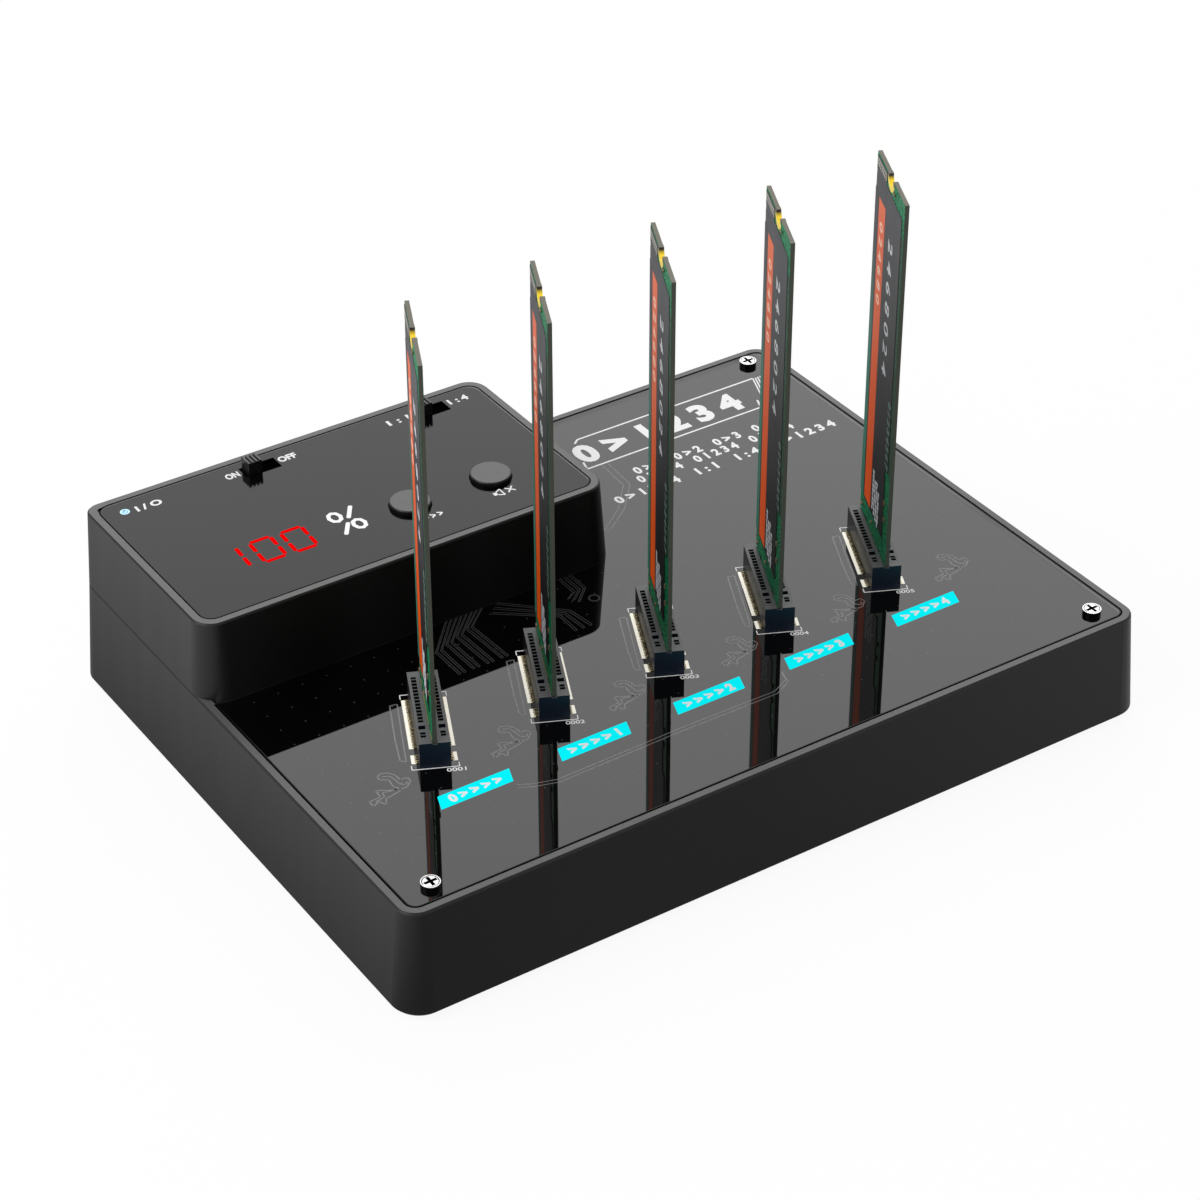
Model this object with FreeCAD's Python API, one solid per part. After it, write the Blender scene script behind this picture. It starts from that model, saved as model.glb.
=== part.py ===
import FreeCAD, Part
import math
import os

# Five-slot drive duplicator with its drive cards in place.
# Frame: origin on the table under the middle of the base tray, +X to the right along the
# front, +Y to the back, +Z up. All sizes are millimetres.

Vector = FreeCAD.Vector
UP = Vector(0, 0, 1)
BACKWARD = Vector(0, 1, 0)

# How far a cutter runs past the face that it opens, and how closely heights are compared
past = 1.0
tolerance = 1e-4
least_radius = 0.3

# Base tray, measured at its rim
base_length = 160.9
base_depth = 122.3
base_height = 21.6
base_draft = 1.75
base_corner_radius = 4.0
base_wall = 2.2
base_floor = 2.0
rim_width = 2.0
rim_bevel = 0.35
bottom_bevel = 0.7
ledge_width = 1.2

# Rubber feet
foot_stand = 1.0
foot_radius = 5.0
foot_inset = 13.0

# Main circuit board, the top deck
board_thickness = 1.6
board_sink = 0.6
board_gap = 0.25

# Cross-recess screws that show at three corners of the board
board_screw_radius = 1.0
board_screw_head_radius = 1.65
board_screw_head_height = 1.05
board_screw_length = 7.0
board_screw_left = 8.2
board_screw_right = 6.6
board_screw_front = 6.2
board_screw_back = 4.5
cross_length = 2.2
cross_width = 0.36
cross_depth = 0.6
boss_size = 5.2
rib_thickness = 1.2
rib_drop = 1.5
hole_gap = 0.1
thread_gap = 0.05
pilot_spare = 1.0

# Posts that carry the board beside the outer sockets
post_size = 4.4

# Screws from below that clamp tray, board and control housing
pod_screw_radius = 1.5
pod_screw_head_radius = 2.7
pod_screw_head_height = 2.0
pod_screw_bite = 7.0
tube_size = 8.4
tube_bore_gap = 0.3
tube_web = 2.6

# Control housing at the back left
pod_length = 89.8
pod_depth = 50.6
pod_height = 16.2
pod_draft = 1.1
pod_corner_radius = 5.4
pod_wall = 2.0
pod_rim_width = 1.9
pod_bevel = 0.3
pod_deck = 1.6
pod_part_line = 0.2
pod_boss_size = 5.2
pod_boss_inset = 7.0

# Glossy panel on the control housing
panel_thickness = 1.0
panel_sink = 0.25
panel_gap = 0.15

# Control circuit board hung under the panel
control_drop = 5.1
control_board_thickness = 1.6
control_board_gap = 1.2
notch_gap = 1.0
standoff_size = 4.4
control_screw_radius = 1.0
control_screw_head_radius = 1.9
control_screw_head_height = 1.2
control_screw_bite = 3.6
standoff_inset = 9.0
standoff_depth = 27.0
prop_inset = 45.3
prop_front_inset = 7.6
prop_back_inset = 16.0

# Two slide switches
power_slot_left = 36.3
mode_slot_left = 74.55
slot_back = 6.8
slot_length = 7.6
slot_width = 3.75
knob_length = 2.9
knob_width = 3.0
knob_rise = 2.75
knob_end_gap = 0.6
knob_rib_count = 4
knob_groove_depth = 0.3
switch_wall = 0.4
switch_width = 4.4
switch_height = 4.0
slider_length = 5.0
slider_end_gap = 0.15
slider_side_gap = 0.1
slider_height = 2.1
knob_stem_gap = 0.15

# Two round push buttons
start_button_left = 53.6
mute_button_left = 71.6
button_front = 16.3
button_radius = 4.0
button_rise = 1.0
button_edge = 0.2
button_gap = 0.2
button_travel = 0.5
flange_size = 9.6
flange_thickness = 0.8
flange_gap = 0.05
tact_size = 6.0
tact_height = 3.5
tact_plunger_size = 3.0
tact_plunger_sink = 1.9
tact_bore_spare = 0.2

# Display, power light and buzzer
display_left = 23.9
display_front = 18.0
display_length = 22.2
display_width = 10.6
display_gap = 0.15
window_gap = 0.2
led_left = 7.4
led_back = 6.4
led_radius = 1.5
led_tip_gap = 0.2
buzzer_left = 66.0
buzzer_front = 30.0
buzzer_radius = 4.5
buzzer_height = 4.2

# Plug and socket strip between the two boards
link_left = 30.0
link_front = 33.0
link_pin_count = 4
link_rows = 2
link_pitch = 2.0
link_pin_size = 0.5
link_body_width = 4.4
link_plug_height = 2.0
link_gap = 0.6
link_pin_sink = 3.0
link_pin_gap = 0.1

# Card sockets, turned about the vertical
socket_count = 5
socket_row_x = -49.75
socket_row_y = -17.13
socket_pitch = 25.15
socket_turn = -115.0
socket_length = 22.1
socket_width = 5.65
socket_height = 5.3
window_pitch = 1.03
window_count = 14
window_first = -9.1
window_length = 0.5
window_width = 0.95
window_offset = 1.8
key_window_place = 6.1
key_window_length = 1.1
key_window_width = 1.25
end_window_first = 7.8
end_window_count = 2
window_depth = 3.2
key_window_depth = 2.65
tail_reach = 4.1
tail_thickness = 0.2
slot_end_gap = 0.15
slot_side_gap = 0.1
slot_floor_gap = 0.4
lead_in = 0.35

# Drive cards
card_width = 22.0
card_visible = 77.0
card_thickness = 0.8
card_insertion = 3.0
card_seat_gap = 0.05
tongue_width = 19.85
tongue_chamfer = 0.4
key_notch_width = 1.2
b_key_place = 5.625
m_key_place = -6.125
key_notch_depth = 3.5
screw_notch_radius = 1.75
screw_notch_sides = 8
plating_width = 1.0
plating_thickness = 0.05
finger_height = 2.2
finger_margin = 0.3
label_thickness = 0.12
label_width = 18.0
label_far_margin = 0.4
label_top_gap = 6.9
label_height = 66.0

# USB-C receptacle at the back, placed from the middle of the tray
usb_x = 20.0
usb_width = 8.94
usb_height = 3.2
usb_depth = 7.4
usb_wall = 0.3
usb_back_wall = 1.0
stadium_flat = 0.02
usb_tongue_width = 6.7
usb_tongue_thickness = 0.7
usb_tongue_length = 4.9
usb_front_gap = 0.2
port_gap = 0.3

# Barrel jack for power at the back, placed from the middle of the tray
jack_x = 38.0
jack_width = 9.0
jack_height = 11.0
jack_axis_drop = 6.0
jack_depth = 12.6
jack_nose_radius = 3.9
jack_wall_gap = 0.25
jack_bore_radius = 3.15
jack_bore_depth = 9.5
jack_pin_radius = 1.0
jack_pin_sink = 0.6

# Parts soldered under the main board
bridge_size = 8.0
bridge_height = 0.9
bridge_forward = 16.0
hub_size = 12.0
hub_height = 1.1
hub_side_inset = 50.45
hub_back_inset = 39.15
capacitor_radius = 3.15
capacitor_height = 7.7
capacitor_count = 2
capacitor_side_inset = 18.45
capacitor_back_inset = 15.15
capacitor_pitch = 8.0

# Heights worked out from the sizes above
base_z = foot_stand
floor_z = base_z + base_floor
rim_z = base_z + base_height
board_top = rim_z - board_sink
board_low = board_top - board_thickness
pod_top = rim_z + pod_height
panel_top = pod_top - panel_sink
panel_low = panel_top - panel_thickness
deck_low = panel_low - pod_deck
control_top = deck_low - control_drop
control_low = control_top - control_board_thickness
knob_travel = slot_length - knob_length - 2 * knob_end_gap

# Places worked out from the sizes above
left = -base_length / 2
right = base_length / 2
front = -base_depth / 2
back = base_depth / 2
pod_front = back - pod_depth
pod_right = left + pod_length


class Plan:
    """Rectangle seen from above, with a radius for each corner.

    The corners run front left, front right, back right, back left.
    """

    def __init__(self, x0, x1, y0, y1, radii):
        self.x0, self.x1, self.y0, self.y1 = x0, x1, y0, y1
        self.radii = list(radii)

    def grown(self, amount):
        """The same outline, moved outwards by an amount, or inwards if it is negative."""
        radii = [max(radius + amount, least_radius) for radius in self.radii]
        return Plan(self.x0 - amount, self.x1 + amount, self.y0 - amount, self.y1 + amount, radii)

    def wire(self, z):
        """Closed wire of four sides and four corner arcs at a height."""
        corners = [(self.x0, self.y0, 1, 1), (self.x1, self.y0, -1, 1),
                   (self.x1, self.y1, -1, -1), (self.x0, self.y1, 1, -1)]
        arcs = []
        for index, (x, y, sx, sy) in enumerate(corners):
            radius = self.radii[index]
            on_x_side = Vector(x + sx * radius, y, z)
            on_y_side = Vector(x, y + sy * radius, z)
            share = 1 - 0.5 ** 0.5
            middle = Vector(x + sx * radius * share, y + sy * radius * share, z)
            first, last = (on_y_side, on_x_side) if index % 2 == 0 else (on_x_side, on_y_side)
            arcs.append((first, middle, last))
        edges = []
        for index, (first, middle, last) in enumerate(arcs):
            edges.append(Part.Arc(first, middle, last).toShape())
            following = arcs[(index + 1) % 4][0]
            edges.append(Part.makeLine(last, following))
        return Part.Wire(edges)

    def prism(self, z0, z1):
        """Upright solid between two heights."""
        return Part.Face(self.wire(z0)).extrude(Vector(0, 0, z1 - z0))


def tapered(*sections):
    """Solid whose sides lean straight from each (outline, height) to the next one up."""
    return Part.makeLoft([plan.wire(z) for plan, z in sections], True, True)


def block(x0, x1, y0, y1, z0, z1):
    """Box between two corners."""
    return Part.makeBox(x1 - x0, y1 - y0, z1 - z0, Vector(x0, y0, z0))


def centred_block(x, y, length, width, z0, z1):
    """Box centred on a point in plan."""
    return block(x - length / 2, x + length / 2, y - width / 2, y + width / 2, z0, z1)


def rod(x, y, radius, z0, z1):
    """Upright cylinder between two heights."""
    return Part.makeCylinder(radius, z1 - z0, Vector(x, y, z0))


def turned(profile, x=0.0, y=0.0):
    """Solid turned about the vertical through a point, from (radius, height) points."""
    points = [Vector(x + radius, y, z) for radius, z in profile]
    face = Part.Face(Part.makePolygon(points + points[:1]))
    return face.revolve(Vector(x, y, 0), UP, 360)


def fuse_all(first, others):
    """One solid made of several that overlap."""
    return first.fuse(others).removeSplitter()


def save(name, shapes):
    """Write one sub-part, as one solid or as a group of separate solids."""
    shape = shapes[0] if len(shapes) == 1 else Part.makeCompound(shapes)
    shape.exportStep(os.path.join("parts", name + ".step"))


# Outlines shared by the pieces that meet each other
rim_plan = Plan(left, right, front, back, [base_corner_radius] * 4)
recess_plan = rim_plan.grown(-rim_width)
board_plan = recess_plan.grown(-board_gap)
pod_radii = [pod_corner_radius] * 3 + [base_corner_radius]
pod_plan = Plan(left, pod_right, pod_front, back, pod_radii)


def base_plan(z):
    """Outer outline of the tray at a height."""
    return rim_plan.grown(base_draft * (rim_z - z) / base_height)


def pod_outer_plan(z):
    """Outer outline of the control housing at a height."""
    return pod_plan.grown(-pod_draft * (z - rim_z) / pod_height)


panel_recess_plan = pod_outer_plan(pod_top).grown(-pod_rim_width)
panel_plan = panel_recess_plan.grown(-panel_gap)

board_screw_places = [
    (left + board_screw_left, front + board_screw_front),
    (right - board_screw_right, front + board_screw_front),
    (right - board_screw_right, back - board_screw_back),
]
pod_screw_places = [
    (left + pod_boss_inset, pod_front + pod_boss_inset),
    (pod_right - pod_boss_inset, back - pod_boss_inset),
]
standoff_places = [
    (left + standoff_inset, pod_front + standoff_depth),
    (pod_right - standoff_inset, pod_front + standoff_depth),
]
prop_places = [
    (left + prop_inset, pod_front + prop_front_inset),
    (left + prop_inset, back - prop_back_inset),
]
foot_places = [(sx * (right - foot_inset), sy * (back - foot_inset))
               for sx in (-1, 1) for sy in (-1, 1)]
post_places = [(socket_row_x + socket_pitch * (index + 0.5), socket_row_y)
               for index in (0, socket_count - 2)]
button_places = [(left + start_button_left, pod_front + button_front),
                 (left + mute_button_left, pod_front + button_front)]
slot_places = [(left + power_slot_left, back - slot_back), (left + mode_slot_left, back - slot_back)]
display_place = (left + display_left, pod_front + display_front)
led_place = (left + led_left, back - led_back)
link_place = (left + link_left, pod_front + link_front)
buzzer_place = (left + buzzer_left, pod_front + buzzer_front)


def boss_ribs(x, y):
    """Two gussets that tie a corner boss to the side walls nearest to it."""
    wall_x = left if x < 0 else right
    wall_y = front if y < 0 else back
    top = board_low - rib_drop
    half = rib_thickness / 2
    along_x = block(min(x, wall_x), max(x, wall_x), y - half, y + half, floor_z, top)
    along_y = block(x - half, x + half, min(y, wall_y), max(y, wall_y), floor_z, top)
    return [along_x, along_y]


def port_cutter():
    """Openings in the tray's back wall for the USB-C receptacle and the barrel jack."""
    reach = base_draft + past
    inner = back - rim_width - ledge_width - past
    usb_low = board_low - usb_height - port_gap
    half = usb_width / 2 + port_gap
    usb = block(usb_x - half, usb_x + half, inner, back + reach, usb_low, board_low)
    corners = [edge for edge in usb.Edges if abs(edge.CenterOfMass.z - usb_low) < tolerance
               and edge.BoundBox.YLength > past]
    usb = usb.makeFillet(usb_height / 2, corners)
    jack = Part.makeCylinder(jack_nose_radius + port_gap, back + reach - inner,
                             Vector(jack_x, inner, board_low - jack_axis_drop), BACKWARD)
    return [usb, jack]


def base_shell():
    """Moulded tray: leaning walls, a ledge for the board, bosses, posts and screw tubes."""
    low_edge, high_edge = base_z + bottom_bevel, rim_z - rim_bevel
    solid = tapered((base_plan(base_z).grown(-bottom_bevel), base_z), (base_plan(low_edge), low_edge),
                    (base_plan(high_edge), high_edge), (rim_plan.grown(-rim_bevel), rim_z))
    cavity_low = base_plan(floor_z).grown(-base_wall)
    cavity_high = base_plan(board_low).grown(-rim_width - ledge_width)
    solid = solid.cut(tapered((cavity_low, floor_z), (cavity_high, board_low)))
    solid = solid.cut(recess_plan.prism(board_low, rim_z + past))
    added = []
    root = floor_z - base_floor / 2
    for x, y in board_screw_places:
        added.append(centred_block(x, y, boss_size, boss_size, root, board_low))
        added += boss_ribs(x, y)
    added += [centred_block(x, y, post_size, post_size, root, board_low) for x, y in post_places]
    added += [centred_block(x, y, tube_size, tube_size, root, board_low) for x, y in pod_screw_places]
    solid = fuse_all(solid, added)
    cutters = []
    for x, y in board_screw_places:
        depth = board_screw_length - board_thickness + pilot_spare
        cutters.append(rod(x, y, board_screw_radius + thread_gap, board_low - depth, board_low + past))
    for x, y in pod_screw_places:
        cutters.append(rod(x, y, pod_screw_head_radius + tube_bore_gap, base_z - past, board_low - tube_web))
        cutters.append(rod(x, y, pod_screw_radius + hole_gap, base_z - past, board_low + past))
    return solid.cut(cutters + port_cutter())


def rubber_feet():
    """Four round feet stuck under the tray."""
    return [rod(x, y, foot_radius, 0, base_z) for x, y in foot_places]


def main_board():
    """The deck: a circuit board with holes for its screws and the control housing's."""
    solid = board_plan.prism(board_low, board_top)
    cutters = []
    for x, y in board_screw_places:
        cutters.append(rod(x, y, board_screw_radius + hole_gap, board_low - past, board_top + past))
    for x, y in pod_screw_places:
        cutters.append(rod(x, y, pod_screw_radius + hole_gap, board_low - past, board_top + past))
    return solid.cut(cutters)


def cross_recess(x, y, top):
    """Cutter for the driver recess of a screw."""
    low = top - cross_depth
    first = centred_block(x, y, cross_length, cross_width, low, top + past)
    second = centred_block(x, y, cross_width, cross_length, low, top + past)
    return first.fuse(second)


def board_screws():
    """Low pan-head screws through the board into the tray's bosses."""
    solids = []
    head_top = board_top + board_screw_head_height
    bevel = board_screw_head_height / 4
    head = board_screw_head_radius
    tip = board_top - board_screw_length
    for x, y in board_screw_places:
        profile = [(0, tip), (board_screw_radius, tip), (board_screw_radius, board_top), (head, board_top),
                   (head, head_top - bevel), (head - bevel, head_top), (0, head_top)]
        solids.append(turned(profile, x, y).cut(cross_recess(x, y, head_top)))
    return solids


def pod_screws():
    """Longer screws from under the tray, through the board into the control housing."""
    solids = []
    seat = board_low - tube_web
    head_low = seat - pod_screw_head_height
    tip = board_top + pod_screw_bite
    for x, y in pod_screw_places:
        profile = [(0, head_low), (pod_screw_head_radius, head_low), (pod_screw_head_radius, seat),
                   (pod_screw_radius, seat), (pod_screw_radius, tip), (0, tip)]
        solids.append(turned(profile, x, y))
    return solids


def pod_cover():
    """Control housing: a leaning shell, a sunk deck for the panel, bosses and standoffs."""
    high_edge = pod_top - pod_bevel
    solid = tapered((pod_outer_plan(board_top), board_top), (pod_outer_plan(high_edge), high_edge),
                    (pod_outer_plan(pod_top).grown(-pod_bevel), pod_top))
    cavity = tapered((pod_outer_plan(board_top).grown(-pod_wall), board_top),
                     (pod_outer_plan(deck_low).grown(-pod_wall), deck_low))
    solid = solid.cut(cavity)
    solid = solid.cut(panel_recess_plan.prism(panel_low, pod_top + past))
    root = deck_low + pod_deck / 2
    added = [centred_block(x, y, pod_boss_size, pod_boss_size, board_top, root) for x, y in pod_screw_places]
    added += [centred_block(x, y, standoff_size, standoff_size, control_top, root)
              for x, y in standoff_places + prop_places]
    solid = fuse_all(solid, added)
    rim_zone = base_plan(base_z).grown(past).prism(base_z, rim_z + pod_part_line)
    rim_zone = rim_zone.cut(board_plan.prism(base_z - past, rim_z + past))
    cutters = [rim_zone]
    for x, y in pod_screw_places:
        depth = pod_screw_bite + pilot_spare
        cutters.append(rod(x, y, pod_screw_radius + thread_gap, board_top - past, board_top + depth))
    for x, y in standoff_places:
        depth = control_screw_bite + pilot_spare / 2
        cutters.append(rod(x, y, control_screw_radius + thread_gap, control_top - past, control_top + depth))
    low, high = deck_low - past, panel_low + past
    cutters += top_openings(low, high)
    led_window = 2 * (led_radius + window_gap)
    cutters.append(centred_block(*led_place, led_window, led_window, low, high))
    cutters.append(centred_block(*display_place, display_length + 2 * window_gap,
                                 display_width + 2 * window_gap, low, high))
    return solid.cut(cutters)


def top_openings(z0, z1):
    """Cutters for what reaches through deck and panel: two buttons and two knobs."""
    cutters = [rod(x, y, button_radius + button_gap, z0, z1) for x, y in button_places]
    cutters += [centred_block(x, y, slot_length, slot_width, z0, z1) for x, y in slot_places]
    return cutters


def control_panel():
    """Glossy plate that lies in the housing's recess."""
    return panel_plan.prism(panel_low, panel_top).cut(top_openings(panel_low - past, panel_top + past))


def control_board():
    """Circuit board under the deck, cut back round the housing's bosses."""
    plan = pod_outer_plan(control_top).grown(-pod_wall - control_board_gap)
    solid = plan.prism(control_low, control_top)
    low, high = control_low - past, control_top + past
    notch = pod_boss_size + 2 * notch_gap
    cutters = [centred_block(x, y, notch, notch, low, high) for x, y in pod_screw_places]
    cutters += [rod(x, y, control_screw_radius + hole_gap, low, high) for x, y in standoff_places]
    return max(solid.cut(cutters).Solids, key=lambda piece: piece.Volume)


def control_board_screws():
    """Screws that hold the control board to the standoffs."""
    solids = []
    low = control_low - control_screw_head_height
    tip = control_top + control_screw_bite
    for x, y in standoff_places:
        profile = [(0, low), (control_screw_head_radius, low), (control_screw_head_radius, control_low),
                   (control_screw_radius, control_low), (control_screw_radius, tip), (0, tip)]
        solids.append(turned(profile, x, y))
    return solids


def switch_body(place):
    """Sheet-metal case of a slide switch, open along the top for the knob's stem."""
    x, y = place
    inner_length = slider_length + knob_travel + 2 * slider_end_gap
    top = control_top + switch_height
    solid = centred_block(x, y, inner_length + 2 * switch_wall, switch_width, control_top, top)
    inner = centred_block(x, y, inner_length, switch_width - 2 * switch_wall,
                          control_top + 2 * switch_wall, top - switch_wall)
    stem_slot = centred_block(x, y, knob_length + knob_travel + 2 * slider_end_gap,
                              knob_width + 2 * knob_stem_gap, control_top + 2 * switch_wall, top + past)
    return solid.cut([inner, stem_slot])


def switch_knob(place):
    """Slider, stem and grooved thumb piece of a slide switch, standing at its left stop."""
    x, y = place
    x -= knob_travel / 2
    slider_low = control_top + 2 * switch_wall + slider_side_gap
    slider_width = switch_width - 2 * switch_wall - 2 * slider_side_gap
    slider = centred_block(x, y, slider_length, slider_width, slider_low, slider_low + slider_height)
    top = panel_top + knob_rise
    stem = centred_block(x, y, knob_length, knob_width, slider_low, top)
    gaps = knob_rib_count - 1
    share = knob_length / (knob_rib_count + gaps)
    grooves = []
    for index in range(gaps):
        groove_x = x - knob_length / 2 + share * (2 * index + 1.5)
        grooves.append(centred_block(groove_x, y, share, knob_width + past,
                                     top - knob_groove_depth, top + past))
        grooves.append(centred_block(groove_x, y - knob_width / 2, share, knob_groove_depth,
                                     panel_top + knob_groove_depth, top + past))
    return stem.fuse(slider).removeSplitter().cut(grooves)


def push_button(place):
    """Round cap with a bevelled top and a square flange below that stops under the deck."""
    x, y = place
    top = panel_top + button_rise
    flange_top = deck_low - flange_gap
    flange_low = flange_top - flange_thickness
    profile = [(0, flange_low), (button_radius, flange_low), (button_radius, top - button_edge),
               (button_radius - button_edge, top), (0, top)]
    flange = centred_block(x, y, flange_size, flange_size, flange_low, flange_top)
    return fuse_all(turned(profile, x, y), [flange])


def tact_plunger(place):
    """Square plunger of a push switch, standing against the button's flange."""
    x, y = place
    top = deck_low - flange_gap - flange_thickness
    low = control_top + tact_height - tact_plunger_sink
    return centred_block(x, y, tact_plunger_size, tact_plunger_size, low, top)


def tact_bodies():
    """Square bodies of the two push switches, bored for their plungers."""
    top = control_top + tact_height
    bore_size = tact_plunger_size + 2 * thread_gap
    bore_low = top - tact_plunger_sink - button_travel - tact_bore_spare
    solids = []
    for x, y in button_places:
        body = centred_block(x, y, tact_size, tact_size, control_top, top)
        bore = centred_block(x, y, bore_size, bore_size, bore_low, top + past)
        solids.append(body.cut(bore))
    return solids


def display_module():
    """Three-digit display, standing on the control board just under the panel."""
    x, y = display_place
    return centred_block(x, y, display_length, display_width, control_top, panel_low - display_gap)


def power_led():
    """Light with its clear column, from the control board to just under the panel's corner."""
    return rod(*led_place, led_radius, control_top, panel_low - led_tip_gap)


def buzzer():
    """Round sounder hung under the control board."""
    return rod(*buzzer_place, buzzer_radius, control_low - buzzer_height, control_low)


def link_pin_places():
    """Plan places of the pins between the two boards."""
    places = []
    for column in range(link_pin_count):
        for row in range(link_rows):
            x = link_place[0] + (column - (link_pin_count - 1) / 2) * link_pitch
            y = link_place[1] + (row - (link_rows - 1) / 2) * link_pitch
            places.append((x, y))
    return places


def board_link_header():
    """Plug strip under the control board, with its pins."""
    low = control_low - link_plug_height
    body = centred_block(*link_place, link_pin_count * link_pitch, link_body_width, low, control_low)
    pins = [centred_block(x, y, link_pin_size, link_pin_size, low - link_gap - link_pin_sink, low)
            for x, y in link_pin_places()]
    return fuse_all(body, pins)


def board_link_socket():
    """Socket strip on the main board that takes the pins."""
    top = control_low - link_plug_height - link_gap
    body = centred_block(*link_place, link_pin_count * link_pitch, link_body_width, board_top, top)
    size = link_pin_size + 2 * link_pin_gap
    holes = [centred_block(x, y, size, size, top - link_pin_sink - link_pin_gap, top + past)
             for x, y in link_pin_places()]
    return body.cut(holes)


def at_socket(shape, index):
    """Set a piece made in the sockets' own frame in its place.

    In that frame X runs along the slot to its near end, Y across it and Z up.
    """
    placed = shape.copy()
    placed.rotate(Vector(0, 0, 0), UP, socket_turn)
    placed.translate(Vector(socket_row_x + socket_pitch * index, socket_row_y, 0))
    return placed


def contact_runs():
    """Start and end along the slot of the two rows of contacts, before and past the key."""
    runs = []
    for first, count in ((window_first, window_count), (end_window_first, end_window_count)):
        last = first + window_pitch * (count - 1)
        runs.append((first - window_length / 2, last + window_length / 2))
    return runs


def socket_housing():
    """Moulded card socket in its own frame: slot with key, and troughs over the contacts."""
    top = board_top + socket_height
    solid = centred_block(0, 0, socket_length, socket_width, board_top, top)
    slot_low = top - card_insertion - slot_floor_gap
    slot_width_all = card_thickness + 2 * slot_side_gap
    slot = centred_block(0, 0, tongue_width + 2 * slot_end_gap, slot_width_all, slot_low, top + past)
    key = centred_block(b_key_place, 0, key_notch_width - 2 * slot_end_gap, slot_width_all,
                        slot_low - past, top - slot_floor_gap)
    lead = centred_block(0, 0, socket_length + past, slot_width_all, top - lead_in, top + past)
    cutters = [slot.cut(key), lead]
    for side in (-1, 1):
        trough_y = side * window_offset
        low, high = trough_y - window_width / 2, trough_y + window_width / 2
        cutters += [block(first, last, low, high, top - window_depth, top + past)
                    for first, last in contact_runs()]
        cutters.append(centred_block(key_window_place, trough_y, key_window_length, key_window_width,
                                     top - key_window_depth, top + past))
    return solid.cut(cutters)


def socket_contacts():
    """Solder tails of the contacts in the socket's frame, each row as one strip."""
    solids = []
    for side in (-1, 1):
        low, high = sorted((side * socket_width / 2, side * tail_reach))
        solids += [block(first, last, low, high, board_top, board_top + tail_thickness)
                   for first, last in contact_runs()]
    return solids


# Heights of a card in its socket
card_shoulder = board_top + socket_height + card_seat_gap
card_top = card_shoulder + card_visible
card_tip = card_shoulder - card_insertion


def card_plate(half, z0, z1):
    """Card-thick plate in the socket's frame between two heights."""
    return block(-half, half, -card_thickness / 2, card_thickness / 2, z0, z1)


def half_round(radius):
    """Points of the lower half of a circle of few sides round the middle of the card's top."""
    points = []
    for step in range(screw_notch_sides + 1):
        angle = math.pi * (1 + step / screw_notch_sides)
        points.append((radius * math.cos(angle), card_top + radius * math.sin(angle)))
    return points


def across_card(points, y0, y1):
    """Solid with a given (x, z) outline that runs across the card between two depths."""
    corners = [Vector(x, y0, z) for x, z in points]
    return Part.Face(Part.makePolygon(corners + corners[:1])).extrude(Vector(0, y1 - y0, 0))


def ssd_board():
    """Card board: shoulders on the socket, chamfered tongue, two key notches, screw notch."""
    solid = card_plate(card_width / 2, card_shoulder, card_top)
    tongue = card_plate(tongue_width / 2, card_tip, card_shoulder + past)
    corners = [edge for edge in tongue.Edges if abs(edge.CenterOfMass.z - card_tip) < tolerance
               and edge.BoundBox.YLength > card_thickness / 2]
    tongue = tongue.makeChamfer(tongue_chamfer, corners)
    solid = fuse_all(solid, [tongue])
    radius = screw_notch_radius
    outline = half_round(radius) + [(radius, card_top + past), (-radius, card_top + past)]
    cutters = [across_card(outline, -card_thickness, card_thickness)]
    half = key_notch_width / 2
    for place in (b_key_place, m_key_place):
        cutters.append(block(place - half, place + half, -card_thickness, card_thickness,
                             card_tip - past, card_tip + key_notch_depth))
    return solid.cut(cutters)


def ssd_plating():
    """Gold on the card: a half ring through the notch, and the edge contacts between the keys."""
    inside = half_round(screw_notch_radius - plating_thickness)[::-1]
    ring = half_round(screw_notch_radius + plating_width) + inside
    lining = half_round(screw_notch_radius) + inside
    key_half = key_notch_width / 2 + finger_margin
    edges = [-tongue_width / 2 + 2 * finger_margin, m_key_place - key_half, m_key_place + key_half,
             b_key_place - key_half, b_key_place + key_half, tongue_width / 2 - 2 * finger_margin]
    low = card_tip + finger_margin
    rings = []
    fingers = []
    for side in (-1, 1):
        faces = sorted((side * card_thickness / 2, side * (card_thickness / 2 + plating_thickness)))
        rings.append(across_card(ring, *faces))
        for first, last in zip(edges[0::2], edges[1::2]):
            fingers.append(block(first, last, *faces, low, low + finger_height))
    through = across_card(lining, -card_thickness / 2, card_thickness / 2)
    return [fuse_all(through, rings)] + fingers


def ssd_label():
    """Label on the card's face that looks to the left."""
    face = -card_thickness / 2
    high = card_top - label_top_gap
    far = -card_width / 2 + label_far_margin
    return block(far, far + label_width, face - label_thickness, face, high - label_height, high)


def usb_front():
    """Y of the receptacle's mouth, just inside the tray's leaning back wall."""
    middle = board_low - usb_height / 2
    return base_plan(middle).y1 - usb_front_gap


def stadium(x, z, width, height, y0, y1):
    """Flat-sided tube section with round ends, running to the back."""
    solid = block(x - width / 2, x + width / 2, y0, y1, z - height / 2, z + height / 2)
    edges = [edge for edge in solid.Edges if edge.BoundBox.YLength > (y1 - y0) / 2]
    return solid.makeFillet((height - stadium_flat) / 2, edges)


def usb_c_shell():
    """Metal shell of the USB-C receptacle, hung under the main board."""
    middle = board_low - usb_height / 2
    face = usb_front()
    solid = stadium(usb_x, middle, usb_width, usb_height, face - usb_depth, face)
    bore = stadium(usb_x, middle, usb_width - 2 * usb_wall, usb_height - 2 * usb_wall,
                   face - usb_depth + usb_back_wall, face + past)
    return solid.cut(bore)


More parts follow.
